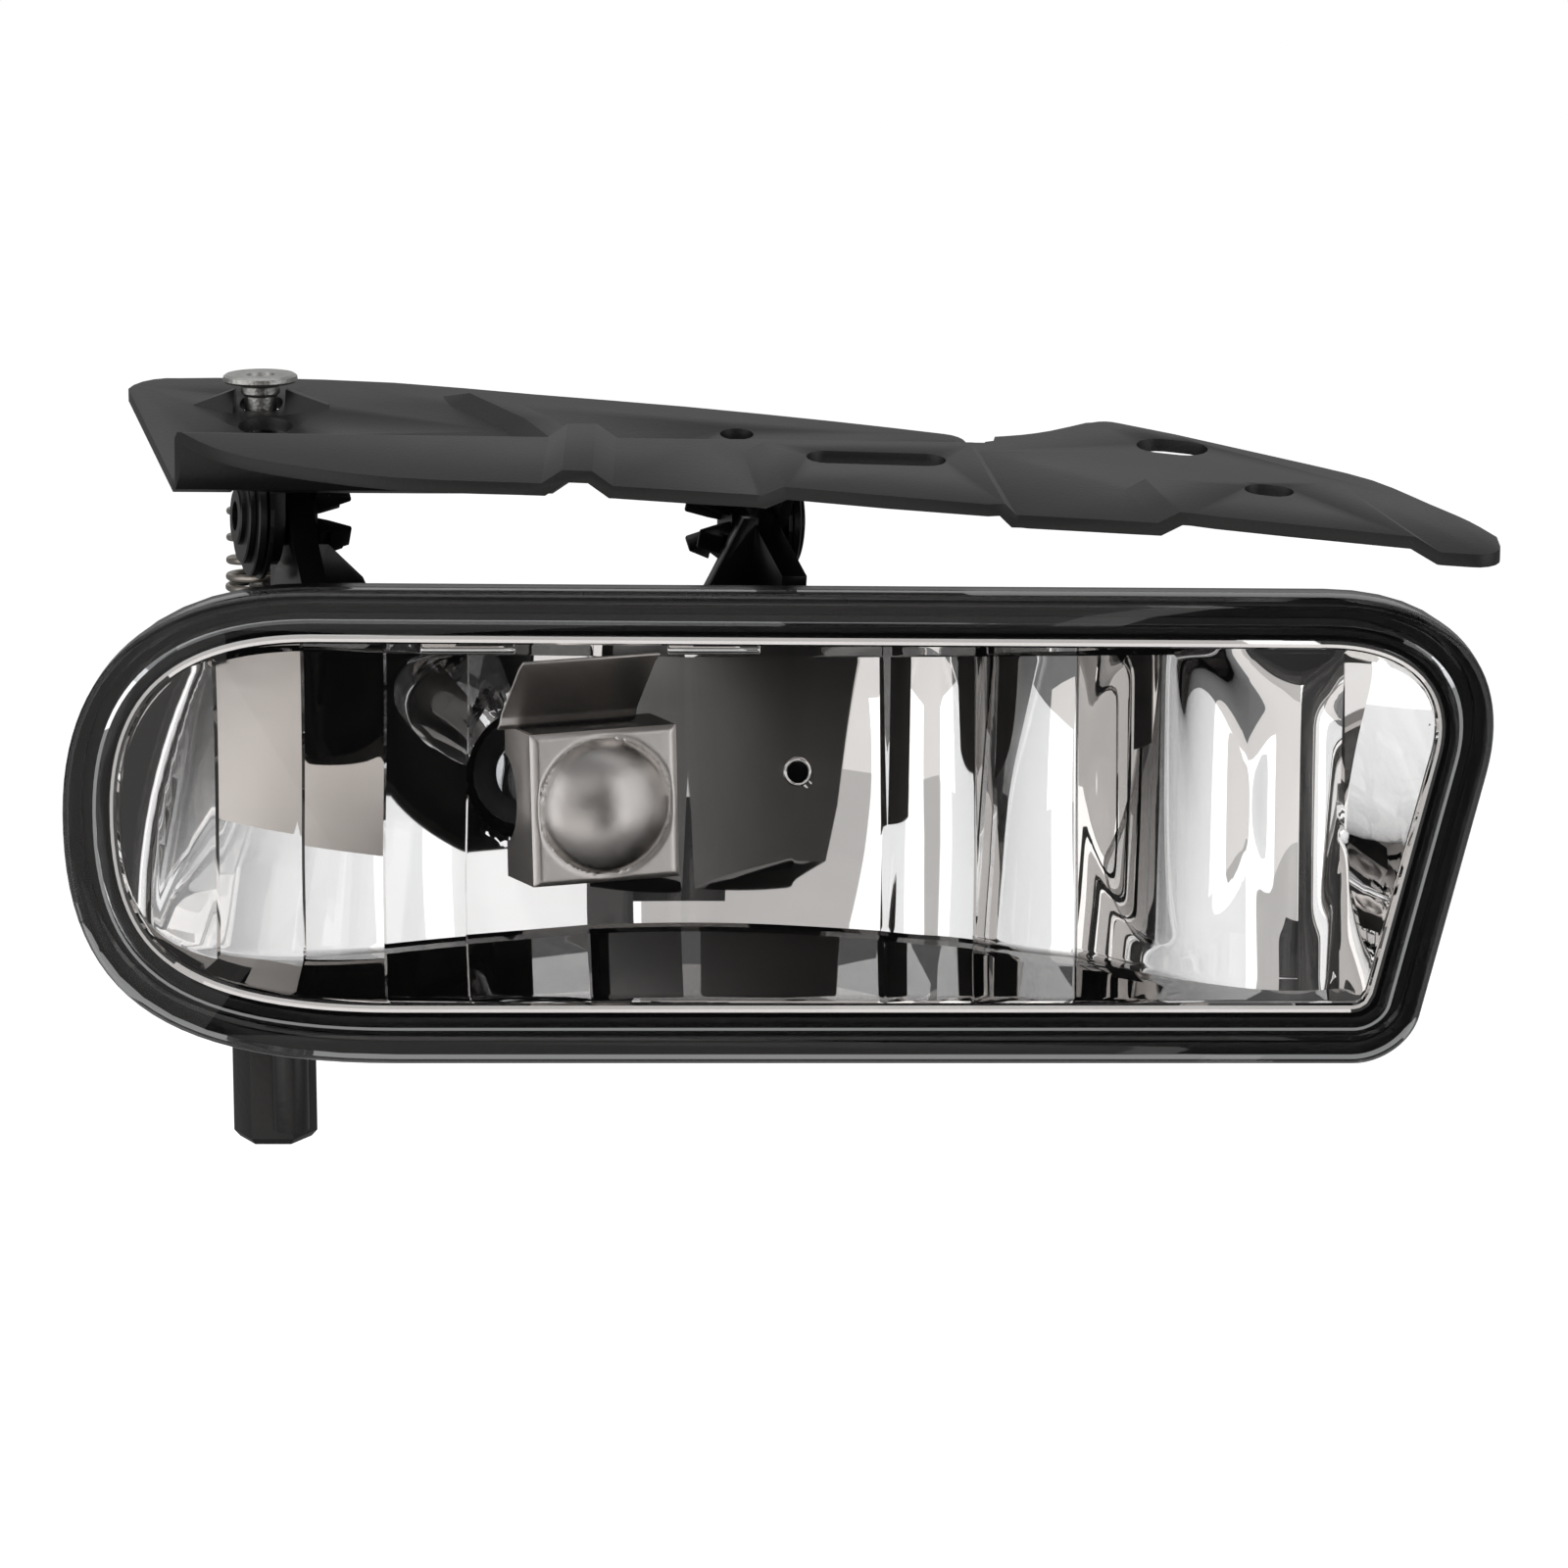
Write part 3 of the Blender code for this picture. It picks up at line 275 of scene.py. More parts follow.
BOWL_INSET, RIM_BACK = 9.4, 5.2
APEX_X, HALF_LEFT, HALF_RIGHT = -20.0, 90.0, 112.0
BOWL_DEPTH, BOWL_CURVE = 65.0, 192.0
FLOOR_FALL, CEILING_FALL, FULL_FALL_AT = 0.03, 0.27, 30.0      # the last is a height above or below LAMP
SHALLOWEST = 1.0                               # of the mirror face behind the top of its rim
FOLD_X, FOLD_DEPTH = 95.5, 8.0                 # where the right end wall meets the last flute
END_SLOPE = (RIGHT_TOP.x - RIGHT_FOOT.x) / (RIGHT_TOP.y - RIGHT_FOOT.y)
END_SPREAD = 1.038                             # along x, for each unit square to the slanted end

# flutes from left to right: start, end, depth of the hollow between them, lean of the face: below zero
# it is turned to the front with a step at each end, above zero it is a pillow beside a narrow strip
FLUTES = [(-111.0, -95.7, 0.4, -2.2), (-95.7, -82.1, 0.5, -2.0), (-82.1, -68.8, 0.5, -1.8),
          (-68.8, -55.0, 0.4, -1.2), (-55.0, -34.0, 0.0, 0.0), (-34.0, -17.5, 0.4, 0.0),
          (-17.5, 2.0, 0.7, 0.0), (2.0, 17.5, 0.2, 0.0), (17.5, 27.5, -0.5, 0.0), (27.5, 33.6, 0.2, 0.0),
          (33.6, 50.9, -1.3, 0.0), (50.9, 79.0, -2.6, 2.4), (79.0, FOLD_X, -2.0, 1.5)]
PILLOW_START, PILLOW_FALL, PILLOW_CURVE = 0.3, 4.0, 3.7        # across its width, as shares of the lean
PILLOW_TURN = 0.0027                           # how much flatter than the bowl a pillow is
PILLOW_BLEND, RIM_BLEND = 0.3, 1.6


def bowl(x):
    """Depth of the plain bowl that the flutes are laid out on, along its middle."""
    half = HALF_LEFT if x < APEX_X else HALF_RIGHT
    return BOWL_DEPTH * (1.0 - ((x - APEX_X) / half) ** 2)


def end_x(z):
    """Where the mirror's slanted right end is at this height."""
    return RIGHT_FOOT.x + (z - RIGHT_FOOT.y) * END_SLOPE - BOWL_INSET * END_SPREAD


def rounded_meeting(near, far, blend):
    """How far the first depth has passed the second, from 0 to 1, and the fillet where they meet."""
    share = min(max(0.5 + 0.5 * (near - far) / blend, 0.0), 1.0)
    return share, blend * share * (1.0 - share)


def back_depth(x, z):
    """Depth of the mirror face behind the lens front."""
    rim = z * LENS_RAKE + RIM_BACK + SHALLOWEST
    if x >= FOLD_X:
        room = max(end_x(z) - FOLD_X, 0.5)
        return rim + FOLD_DEPTH * max(end_x(z) - x, 0.0) / room
    for start, end, hollow, lean in FLUTES:
        if start <= x < end:
            break
    t = min(max((x - start) / (end - start), 0.0), 1.0)
    first, last = bowl(start), bowl(end)
    if end == FOLD_X:
        last = RIM_BACK + SHALLOWEST + FOLD_DEPTH
    depth = first + (last - first) * t + hollow * 4 * t * (1 - t) - z * z / BOWL_CURVE
    if lean < 0.0:
        depth -= lean * (1.0 - 2.0 * t)
    if lean > 0.0:
        pillow = (depth + lean * PILLOW_START - lean * PILLOW_FALL * t + PILLOW_TURN * z * z
                  + lean * PILLOW_CURVE * t * t)
        share, fillet = rounded_meeting(pillow, depth, PILLOW_BLEND)
        depth = pillow + (depth - pillow) * share - fillet
    share, fillet = rounded_meeting(depth, rim, RIM_BLEND)
    return rim + (depth - rim) * share + fillet


COLUMN_STEP, ROWS, WALL_ROWS = 0.75, 60, 10
LEFT_ROUND, RIGHT_ROUND = 12.0, 6.0             # the ends, where the columns stand closer and closer
EDGE_GAP = 0.12                                 # from a flute's edge to the columns on both sides of it
RIM_SECTION = [(7.3, 12.0), (7.3, 5.0), (7.45, 4.5), (7.8, 4.05), (8.35, 3.95), (8.9, 4.1),
               (9.25, 4.5), (9.4, 5.2)]         # inset from the lens edge, depth behind the lens front
top_edge, foot_edge = edge_heights(BOWL_INSET)
left_end, right_end = top_edge[0].x, top_edge[-1].x
stations = [left_end + LEFT_ROUND * (1 - cos(pi / 2 * i / 16)) for i in range(16)]
while stations[-1] < right_end - RIGHT_ROUND:
    stations.append(stations[-1] + COLUMN_STEP)
stations += [right_end - RIGHT_ROUND * (1 - sin(pi / 2 * i / 12)) for i in range(1, 13)]
flute_edges = [flute[0] for flute in FLUTES[1:]]
for edge in flute_edges:
    stations += [edge - EDGE_GAP, edge + EDGE_GAP]
stations = sorted(x for x in stations if all(abs(x - edge) > 0.1 or abs(abs(x - edge) - EDGE_GAP) < 0.01
                                             for edge in flute_edges))

mirror = bmesh.new()


def wall_run(edge_point, outward, fall):
    """From the outside of the rim over its rounded top and down to the mirror's back."""
    points = []
    for inset, back in RIM_SECTION:
        x, z = edge_point + outward * (BOWL_INSET - inset)
        points.append((x, z * LENS_RAKE + back, z))
    x, z = edge_point
    front = z * LENS_RAKE + RIM_BACK
    rear = max(back_depth(x, z), front + 0.05)
    for i in range(1, WALL_ROWS + 1):
        y = front + (rear - front) * i / WALL_ROWS
        points.append((x, y, z - fall * (y - front)))
    return points


def outward_at(run, k, side):
    """The direction out of the mirror, square to its edge, at point k of a run."""
    ahead = run[min(k + 1, len(run) - 1)] - run[max(k - 1, 0)]
    if k in (0, len(run) - 1):
        return Vector((-1.0 if k == 0 else 1.0, 0.0))
    return Vector((-ahead.y, ahead.x)).normalized() * side


top_run = [Vector((x, height_at(top_edge, x))) for x in stations]
foot_run = [Vector((x, height_at(foot_edge, x))) for x in stations]
columns = []
for k, x in enumerate(stations):
    ceiling_fall = CEILING_FALL * max(top_run[k].y, 0.0) / FULL_FALL_AT
    floor_fall = FLOOR_FALL * max(-foot_run[k].y, 0.0) / FULL_FALL_AT
    high = wall_run(top_run[k], outward_at(top_run, k, 1.0), ceiling_fall)
    low = wall_run(foot_run[k], outward_at(foot_run, k, -1.0), floor_fall)
    upper, lower = high[-1][2], low[-1][2]
    between = []
    for r in range(1, ROWS):
        z = upper + (lower - upper) * r / ROWS
        between.append((x, back_depth(x, z), z))
    columns.append([mirror.verts.new(Vector(p) * MM + LAMP * MM) for p in high + between + low[::-1]])
wall_start = len(columns[0]) - WALL_ROWS - len(RIM_SECTION)
for a, b in zip(columns, columns[1:]):
    for r in range(len(a) - 1):
        face = mirror.faces.new((a[r], b[r], b[r + 1], a[r + 1]))
        # the floor's wall rows take the darker copy of the mirror coat: painted shade for their dim
        # reflection
        face.material_index = 1 if wall_start <= r < wall_start + WALL_ROWS else 0
bmesh.ops.remove_doubles(mirror, verts=mirror.verts, dist=0.00002)

# the bulb's round port and the small breather hole, each a set of faces taken out along an axis, with
# the points left round the gap drawn on to the true circle
BULB_PORT = LAMP + Vector((-45.5, 62.0, -4.5))
BULB_YAW, BULB_PITCH = radians(19.0), radians(5.0)
forward = Vector((sin(BULB_YAW) * cos(BULB_PITCH), -cos(BULB_YAW) * cos(BULB_PITCH), sin(BULB_PITCH)))
PORT_RADIUS, BREATHER_X, BREATHER_Z, BREATHER_RADIUS = 11.5, 2.5, -5.0, 1.9
BREATHER = LAMP + Vector((BREATHER_X, 60.0, BREATHER_Z))
AXIS_REACH, SNAP_REACH = 30.0, 1.6


def off_axis(point, through, along):
    """How far a point is from an axis, as a vector, and how far it is along the axis."""
    across = point / MM - through
    travel = across.dot(along)
    return across - along * travel, abs(travel)


for through, along, radius in ((BULB_PORT, forward, PORT_RADIUS),
                               (BREATHER, Vector((0, -1, 0)), BREATHER_RADIUS)):
    gone = []
    for face in mirror.faces:
        away, travel = off_axis(face.calc_center_median(), through, along)
        if away.length < radius and travel < AXIS_REACH:
            gone.append(face)
    bmesh.ops.delete(mirror, geom=gone, context="FACES")
    for vert in mirror.verts:
        away, travel = off_axis(vert.co, through, along)
        if vert.is_boundary and away.length < radius + SNAP_REACH and travel < AXIS_REACH:
            vert.co += away.normalized() * (radius - away.length) * MM


def added(name, data):
    """A new object for a mesh or curve, on its own selected and active."""
    piece = bpy.data.objects.new(name, data)
    bpy.context.scene.collection.objects.link(piece)
    bpy.ops.object.select_all(action="DESELECT")
    piece.select_set(True)
    bpy.context.view_layer.objects.active = piece
    return piece


def face_outwards():
    """Turn every face of the active piece outwards."""
    bpy.ops.object.mode_set(mode="EDIT")
    bpy.ops.mesh.select_all(action="SELECT")
    bpy.ops.mesh.normals_make_consistent(inside=False)
    bpy.ops.object.mode_set(mode="OBJECT")


def settle(piece, place, finish, body, slot, *nodes):
    """Put a finished piece in its place for good, with its finish, its body and what it stands for."""
    piece.data.transform(place)
    if place.determinant() < 0:
        piece.data.flip_normals()
    if not piece.data.materials:
        piece.data.materials.append(finish)
    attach(piece, body)
    if nodes:
        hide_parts(*nodes)


aluminised = grained("aluminised", (0.86, 0.84, 0.825, 1.0), (0.93, 0.915, 0.9, 1.0), 0.012, 260.0, 0.0,
                     metallic=1.0)
# a darker copy of the same mirror coat, painted shade that dims the floor's reflection
shaded_mirror = grained("aluminised_painted_shade", (0.1, 0.098, 0.096, 1.0), (0.17, 0.165, 0.16, 1.0), 0.02, 300.0,
                     0.0, metallic=1.0)
mirror_mesh = bpy.data.meshes.new("reflector_mirror")
mirror.to_mesh(mirror_mesh)
mirror.free()
reflector = added("reflector_mirror", mirror_mesh)
face_outwards()
if sum(face.normal.y * face.area for face in reflector.data.polygons) > 0:      # the mirror faces the lens
    reflector.data.flip_normals()
apply(reflector, "SOLIDIFY", thickness=1.0 * MM, offset=-1.0)
bpy.ops.object.shade_smooth_by_angle(angle=radians(22.0))
reflector.data.materials.append(aluminised)
reflector.data.materials.append(shaded_mirror)
settle(reflector, Matrix(), aluminised, "lamp", "reflector_mirror", "reflector")

bpy.ops.object.select_all(action="DESELECT")
bpy.ops.mesh.primitive_torus_add(major_segments=48, minor_segments=12, major_radius=2.2 * MM,
                                 minor_radius=0.38 * MM, rotation=(pi / 2, 0.0, 0.0))
breather_bead = bpy.context.object
breather_bead.name = "reflector_breather_bead"
bpy.ops.object.transform_apply(location=False, rotation=True, scale=False)
bpy.ops.object.shade_smooth()
bead_place = LAMP + Vector((BREATHER_X, back_depth(BREATHER_X, BREATHER_Z) - 0.3, BREATHER_Z))
settle(breather_bead, Matrix.Translation(bead_place * MM), aluminised, "lamp", "reflector_mirror")

RIB_DEEP, RIB_HIGH, RIB_TURN, RIB_Y, RIB_Z = 3.0, 1.4, radians(30.0), 11.8, 28.2
for k, (start, end) in enumerate(((-60.5, -44.5), (-19.0, -3.4))):              # low ribs on the ceiling
    bpy.ops.object.select_all(action="DESELECT")
    bpy.ops.mesh.primitive_cube_add(size=1.0)
    ceiling_rib = bpy.context.object
    ceiling_rib.name = f"reflector_rib_{k + 1}"
    ceiling_rib.scale = ((end - start) * MM, RIB_DEEP * MM, RIB_HIGH * MM)
    ceiling_rib.rotation_euler = (RIB_TURN, 0.0, 0.0)
    bpy.ops.object.transform_apply(location=False, rotation=True, scale=True)
    rib_place = Matrix.Translation((LAMP + Vector(((start + end) / 2, RIB_Y, RIB_Z))) * MM)
    apply(ceiling_rib, "BEVEL", width=0.4 * MM, segments=3)
    bpy.ops.object.shade_smooth_by_angle(angle=radians(40.0))
    settle(ceiling_rib, rib_place, aluminised, "lamp", "reflector_mirror")

# ---- lens ----------------------------------------------------------------------------------------
# A clear moulding, 2.6 mm thick, with a turned-back edge and a tongue that sits in the housing's
# trough. Hard-coated and glossy.
LENS_SECTION = [(1.6, 0.0), (0.8, 0.1), (0.3, 0.45), (0.05, 1.0), (0.0, 1.6), (0.0, 5.0), (3.0, 5.0),
                (3.0, 9.0), (5.0, 9.0), (5.0, 3.2), (5.6, 2.6)]     # inset, depth behind the lens front


def clear_material(name, tint):
    """Polished clear plastic or glass."""
    made = bpy.data.materials.new(name)
    made.use_nodes = True
    shader = made.node_tree.nodes["Principled BSDF"]
    shader.inputs["Base Color"].default_value = tint
    shader.inputs["Roughness"].default_value = 0.0
    shader.inputs["Transmission Weight"].default_value = 1.0
    shader.inputs["IOR"].default_value = 1.45
    return made


lens_clear = clear_material("lens_clear", (0.98, 0.99, 1.0, 1.0))
lens_mesh = bmesh.new()
loops = [[lens_mesh.verts.new((Vector((p.x, p.y * LENS_RAKE + back, p.y)) + LAMP) * MM)
          for p in lens_outline(inset)] for inset, back in LENS_SECTION]
for a, b in zip(loops, loops[1:]):
    for i in range(len(a)):
        j = (i + 1) % len(a)
        lens_mesh.faces.new((a[i], a[j], b[j], b[i]))
lens_mesh.faces.new(loops[0])
lens_mesh.faces.new(loops[-1])
bmesh.ops.recalc_face_normals(lens_mesh, faces=lens_mesh.faces)
lens_data = bpy.data.meshes.new("lens_cover")
lens_mesh.to_mesh(lens_data)
lens_mesh.free()
lens_cover = added("lens_cover", lens_data)
bpy.ops.object.shade_smooth_by_angle(angle=radians(30.0))
settle(lens_cover, Matrix(), lens_clear, "lamp", "lens_glass", "lens")

# ---- bulb shield ---------------------------------------------------------------------------------
# Folded sheet in front of the bulb, so that no direct light dazzles: a square face with a pressed
# dome, sides folded back, and an arm that runs up to the reflector's ceiling. Satin, warm grey; the
# right side, the top and the inside are painted darker as shade.
across = Vector((cos(BULB_YAW), sin(BULB_YAW), 0.0))
bulb_frame = Matrix((across, forward.cross(across), forward)).transposed().to_4x4()
bulb_frame.translation = BULB_PORT * MM
SHIELD_REACH, SHIELD_HALF, SHIELD_SHEET, SHIELD_DEEP = 49.0, 12.95, 0.6, 15.0
SHIELD_EASE, EASE_FALL, SIDE_STEPS = 11.6, 0.4, 8        # where the face rounds off, how fast, side rows
DOME_RADIUS, DOME_RISE, DOME_FULLNESS, DOME_BEAD, BEAD_HALF = 11.4, 5.6, 0.72, 0.3, 0.9
BITE_RADIUS, BITE_DEPTH = 7.6, 17.0
SATIN_LEFT, SATIN_FRONT = -12.2, -1.3           # only what is left of or in front of these stays satin; the rest is painted darker as shade
shield_frame = bulb_frame @ Matrix.Translation((0, 0, SHIELD_REACH * MM))

satin_sheet = grained("satin_sheet", (0.66, 0.62, 0.59, 1.0), (0.78, 0.74, 0.71, 1.0), 0.34, 900.0, 0.05,
                      metallic=1.0, mottle=60.0)
bpy.ops.object.select_all(action="DESELECT")
bpy.ops.mesh.primitive_grid_add(x_subdivisions=72, y_subdivisions=72, size=2 * SHIELD_HALF * MM)
shield = bpy.context.object
shield.name = "shield_sheet"
for vert in shield.data.vertices:
    reach = Vector((vert.co.x, vert.co.y)).length / MM
    share = min(reach / DOME_RADIUS, 1.0)
    dome = DOME_RISE * (1.0 - share ** 2) ** DOME_FULLNESS
    bead = DOME_BEAD * max(0.0, 1.0 - abs(reach - DOME_RADIUS) / BEAD_HALF)
    beyond = max(max(abs(vert.co.x), abs(vert.co.y)) / MM - SHIELD_EASE, 0.0)
    vert.co.z = (dome - bead - EASE_FALL * beyond ** 2) * MM
bpy.ops.object.mode_set(mode="EDIT")
bpy.ops.mesh.select_all(action="DESELECT")
bpy.ops.object.mode_set(mode="OBJECT")
for edge in shield.data.edges:
    a, b = [shield.data.vertices[i].co for i in edge.vertices]
    sideways = min(abs(a.x), abs(b.x)) > SHIELD_HALF * MM * 0.999
    above = min(a.y, b.y) > SHIELD_HALF * MM * 0.999
    edge.select = sideways or above
bpy.ops.object.mode_set(mode="EDIT")
bpy.context.tool_settings.mesh_select_mode = (False, True, False)
for _ in range(SIDE_STEPS):
    bpy.ops.mesh.extrude_edges_move(TRANSFORM_OT_translate={"value": (0, 0, -SHIELD_DEEP / SIDE_STEPS * MM)})
bpy.ops.object.mode_set(mode="OBJECT")
apply(shield, "SOLIDIFY", thickness=SHIELD_SHEET * MM, offset=-1.0)
bpy.ops.object.select_all(action="DESELECT")
bpy.ops.mesh.primitive_cylinder_add(vertices=48, radius=BITE_RADIUS * MM, depth=20.0 * MM,
                                    location=(-SHIELD_HALF * MM, 0.5 * MM, -BITE_DEPTH * MM),
                                    rotation=(0, pi / 2, 0))
bite = bpy.context.object
bpy.context.view_layer.objects.active = shield
apply(shield, "BOOLEAN", operation="DIFFERENCE", solver="EXACT", object=bite)
bpy.data.objects.remove(bite)
bpy.ops.object.select_all(action="DESELECT")
shield.select_set(True)
bpy.ops.object.shade_smooth_by_angle(angle=radians(40.0))
shield.data.materials.append(satin_sheet)
# a darker copy of the satin sheet: painted shade for the sides and inside that fall in shadow
shade_painted_sheet = grained("shade_painted_sheet", (0.07, 0.065, 0.06, 1.0), (0.13, 0.12, 0.114, 1.0), 0.4, 900.0, 0.05,
                     metallic=0.6, mottle=60.0)
shield.data.materials.append(shade_painted_sheet)
for face in shield.data.polygons:                  # the right side, the top and the inside get painted shade, a darker copy of the satin
    if face.center.x > SATIN_LEFT * MM and (face.center.z < SATIN_FRONT * MM or face.normal.z < -0.3):
        face.material_index = 1
settle(shield, shield_frame, satin_sheet, "lamp", "shield_steel", "bulb_shield")

ARM_FOLDS = [(13.1, -9.7), (13.9, -8.6), (15.2, -8.3), (16.2, -7.6), (24.2, -0.2), (25.6, 2.0)]   # y, z
ARM_HALF, ARM_SHIFT, ARM_LEAN = 12.1, -3.9, 0.13
arm_data = bpy.data.meshes.new("shield_arm")
arm_data.from_pydata([Vector((side * ARM_HALF + ARM_SHIFT + ARM_LEAN * (y - ARM_FOLDS[0][0]), y, z)) * MM
                      for y, z in ARM_FOLDS for side in (-1, 1)], [],
                     [(2 * k, 2 * k + 1, 2 * k + 3, 2 * k + 2) for k in range(len(ARM_FOLDS) - 1)])
arm = added("shield_arm", arm_data)
apply(arm, "SOLIDIFY", thickness=SHIELD_SHEET * MM, offset=0.0)
apply(arm, "BEVEL", width=0.2 * MM, segments=3, limit_method="ANGLE", angle_limit=radians(20.0))
bpy.ops.object.shade_smooth_by_angle(angle=radians(40.0))
settle(arm, shield_frame, satin_sheet, "lamp", "shield_steel")

# ---- bulb ----------------------------------------------------------------------------------------
# A single-filament capsule bulb on a black base. It is pushed in from the rear with its seal ring
# and turned, so that its three lugs lock behind the tabs of the housing's collar.
nylon = grained("black_nylon", (0.007, 0.007, 0.007, 1.0), (0.016, 0.016, 0.016, 1.0), 0.36, 1800.0, 0.1)
rubber = grained("black_rubber", (0.008, 0.008, 0.008, 1.0), (0.016, 0.016, 0.016, 1.0), 0.7, 1500.0, 0.2)
brass = grained("terminal_brass", (0.6, 0.45, 0.2, 1.0), (0.75, 0.6, 0.3, 1.0), 0.25, 900.0, 0.05,
                metallic=1.0)
tungsten = grained("tungsten", (0.2, 0.2, 0.21, 1.0), (0.34, 0.34, 0.36, 1.0), 0.35, 900.0, 0.1,
                   metallic=1.0)
quartz = clear_material("clear_quartz", (0.97, 0.98, 1.0, 1.0))
CAPSULE = [(0.0, 1.0), (5.0, 1.0), (5.6, 1.7), (5.8, 3.0), (5.8, 27.0), (5.6, 29.4), (4.9, 31.4),
           (3.6, 33.0), (2.0, 33.9), (0.0, 34.2)]


def lathe(name, profile, steps=64):
    """A turned piece: a profile of (radius, height) in millimetres, spun round the upright axis."""
    data = bpy.data.meshes.new(name)
    runs = list(zip(range(len(profile)), range(1, len(profile))))
    data.from_pydata([Vector((r, 0.0, z)) * MM for r, z in profile], runs, [])
    piece = added(name, data)
    apply(piece, "SCREW", steps=steps, render_steps=steps, use_merge_vertices=True, merge_threshold=0.00001)
    bpy.ops.object.mode_set(mode="EDIT")
    bpy.ops.mesh.select_all(action="SELECT")
    bpy.ops.mesh.remove_doubles(threshold=0.000005)
    bpy.ops.mesh.fill_holes(sides=0)
    bpy.ops.mesh.normals_make_consistent(inside=False)
    bpy.ops.object.mode_set(mode="OBJECT")
    bpy.ops.object.shade_smooth_by_angle(angle=radians(32.0))
    return piece


settle(lathe("bulb_capsule", CAPSULE, steps=48), bulb_frame, quartz, "bulb", "bulb_quartz", "bulb_glass")

# ---- pivots --------------------------------------------------------------------------------------
# Nylon pins carry the lamp in the bracket's ears. Each has a stepped round head with a recess
# outside and split, barbed fingers that snapped through the housing's tower inside.
PIVOT = LAMP + Vector((-92.0, 52.0, 43.6))
PIVOT_YAW, PIVOT_FALL, PIVOT_SPAN = radians(16.0), radians(3.3), 95.9
tilt_axis = Vector((cos(PIVOT_YAW) * cos(PIVOT_FALL), sin(PIVOT_YAW) * cos(PIVOT_FALL), -sin(PIVOT_FALL)))
rearward = Vector((-sin(PIVOT_YAW), cos(PIVOT_YAW), 0.0))
# the pin is turned about its own upright axis, which then lies along the tilt axis
pivot_frame = Matrix((rearward, tilt_axis.cross(rearward), tilt_axis)).transposed().to_4x4()
pivot_frame.translation = PIVOT * MM
PIN_HEAD = [(0.0, -1.4), (2.6, -1.4), (2.6, -3.3), (4.7, -3.3), (5.0, -3.0), (5.0, -2.3), (8.0, -2.3),
            (8.25, -2.05), (8.25, -1.2), (8.1, -1.0), (10.2, -1.0), (10.45, -0.75), (10.45, 0.35),
            (10.2, 0.6), (4.9, 0.6), (4.9, 10.4), (0.0, 10.4)]      # radius, place along the tilt axis
FINGER = [(9.6, 2.2), (9.6, 5.2), (10.4, 7.6), (12.4, 6.0), (12.4, 7.4), (16.4, 5.6), (16.4, 4.9),
          (12.6, 3.2)]                                              # place along the tilt axis, radius
FINGERS, FINGER_HALF, FINGER_START = 4, 1.9, 0.5


def pivot_pin(side, place):
    """A pin with its fingers; its head is at the origin of place, on the outside of the ear."""
    settle(lathe(f"pin_{side}", PIN_HEAD), place, nylon, "lamp", "black_nylon", f"pivot_pin_{side}")
    count = len(FINGER)
    for k in range(FINGERS):
        name = f"pin_{side}_finger_{k + 1}"
        data = bpy.data.meshes.new(name)
        data.from_pydata([Vector((r, w, s)) * MM for w in (-FINGER_HALF, FINGER_HALF) for s, r in FINGER], [],
                         [tuple(range(count)), tuple(range(count, 2 * count))]
                         + [(i, (i + 1) % count, (i + 1) % count + count, i + count) for i in range(count)])
        finger = added(name, data)
        face_outwards()
        turned = place @ Matrix.Rotation(2 * pi / FINGERS * k + FINGER_START, 4, "Z")
        apply(finger, "BEVEL", width=0.25 * MM, segments=2)
        bpy.ops.object.shade_smooth_by_angle(angle=radians(35.0))
        settle(finger, turned, nylon, "lamp", "black_nylon")


mirrored = Matrix.Translation((0, 0, PIVOT_SPAN * MM)) @ Matrix.Scale(-1, 4, (0, 0, 1))
pivot_pin("left", pivot_frame)
pivot_pin("right", pivot_frame @ mirrored)
for side in ("left", "right"):
    eased_copy(f"pivot_tower_{side}", f"tower_{side}", "lamp", black_moulding, width=0.3)

# ---- aiming screw --------------------------------------------------------------------------------
# A zinc-plated screw hangs by its head on the bracket; its thread runs in the hexagonal knob inside
# the column, and a coil spring between two nylon seats pushes bracket and lamp apart.
SCREW_AXIS = Vector((LAMP.x - 93.0, LAMP.y + 81.0, LAMP.z))
screw_frame = Matrix.Translation(SCREW_AXIS * MM)
zinc = grained("zinc_plate", (0.36, 0.36, 0.35, 1.0), (0.6, 0.6, 0.58, 1.0), 0.36, 1600.0, 0.35, metallic=1.0,
               mottle=300.0)
wire_steel = grained("wire_steel", (0.3, 0.27, 0.24, 1.0), (0.46, 0.43, 0.39, 1.0), 0.3, 1200.0, 0.1,
                     metallic=1.0, mottle=200.0)
HEAD_FOOT, HEAD_TOP = 62.9, 64.4
SCREW_PROFILE = [(0.0, -6.0), (2.0, -6.0), (2.6, -5.2), (2.6, 50.0), (2.9, 50.6), (2.9, 60.4), (3.5, 61.0),
                 (3.5, HEAD_FOOT - 0.7), (4.4, HEAD_FOOT - 0.2), (6.3, HEAD_FOOT), (6.7, HEAD_FOOT + 0.4),
                 (6.6, HEAD_TOP - 0.35), (6.1, HEAD_TOP), (5.0, HEAD_TOP - 0.1), (2.6, HEAD_TOP - 0.15),
                 (2.2, HEAD_TOP - 1.2), (0.0, HEAD_TOP - 1.3)]
settle(lathe("aiming_screw", SCREW_PROFILE), screw_frame, zinc, "screw", "zinc_plate", "adjuster_screw")

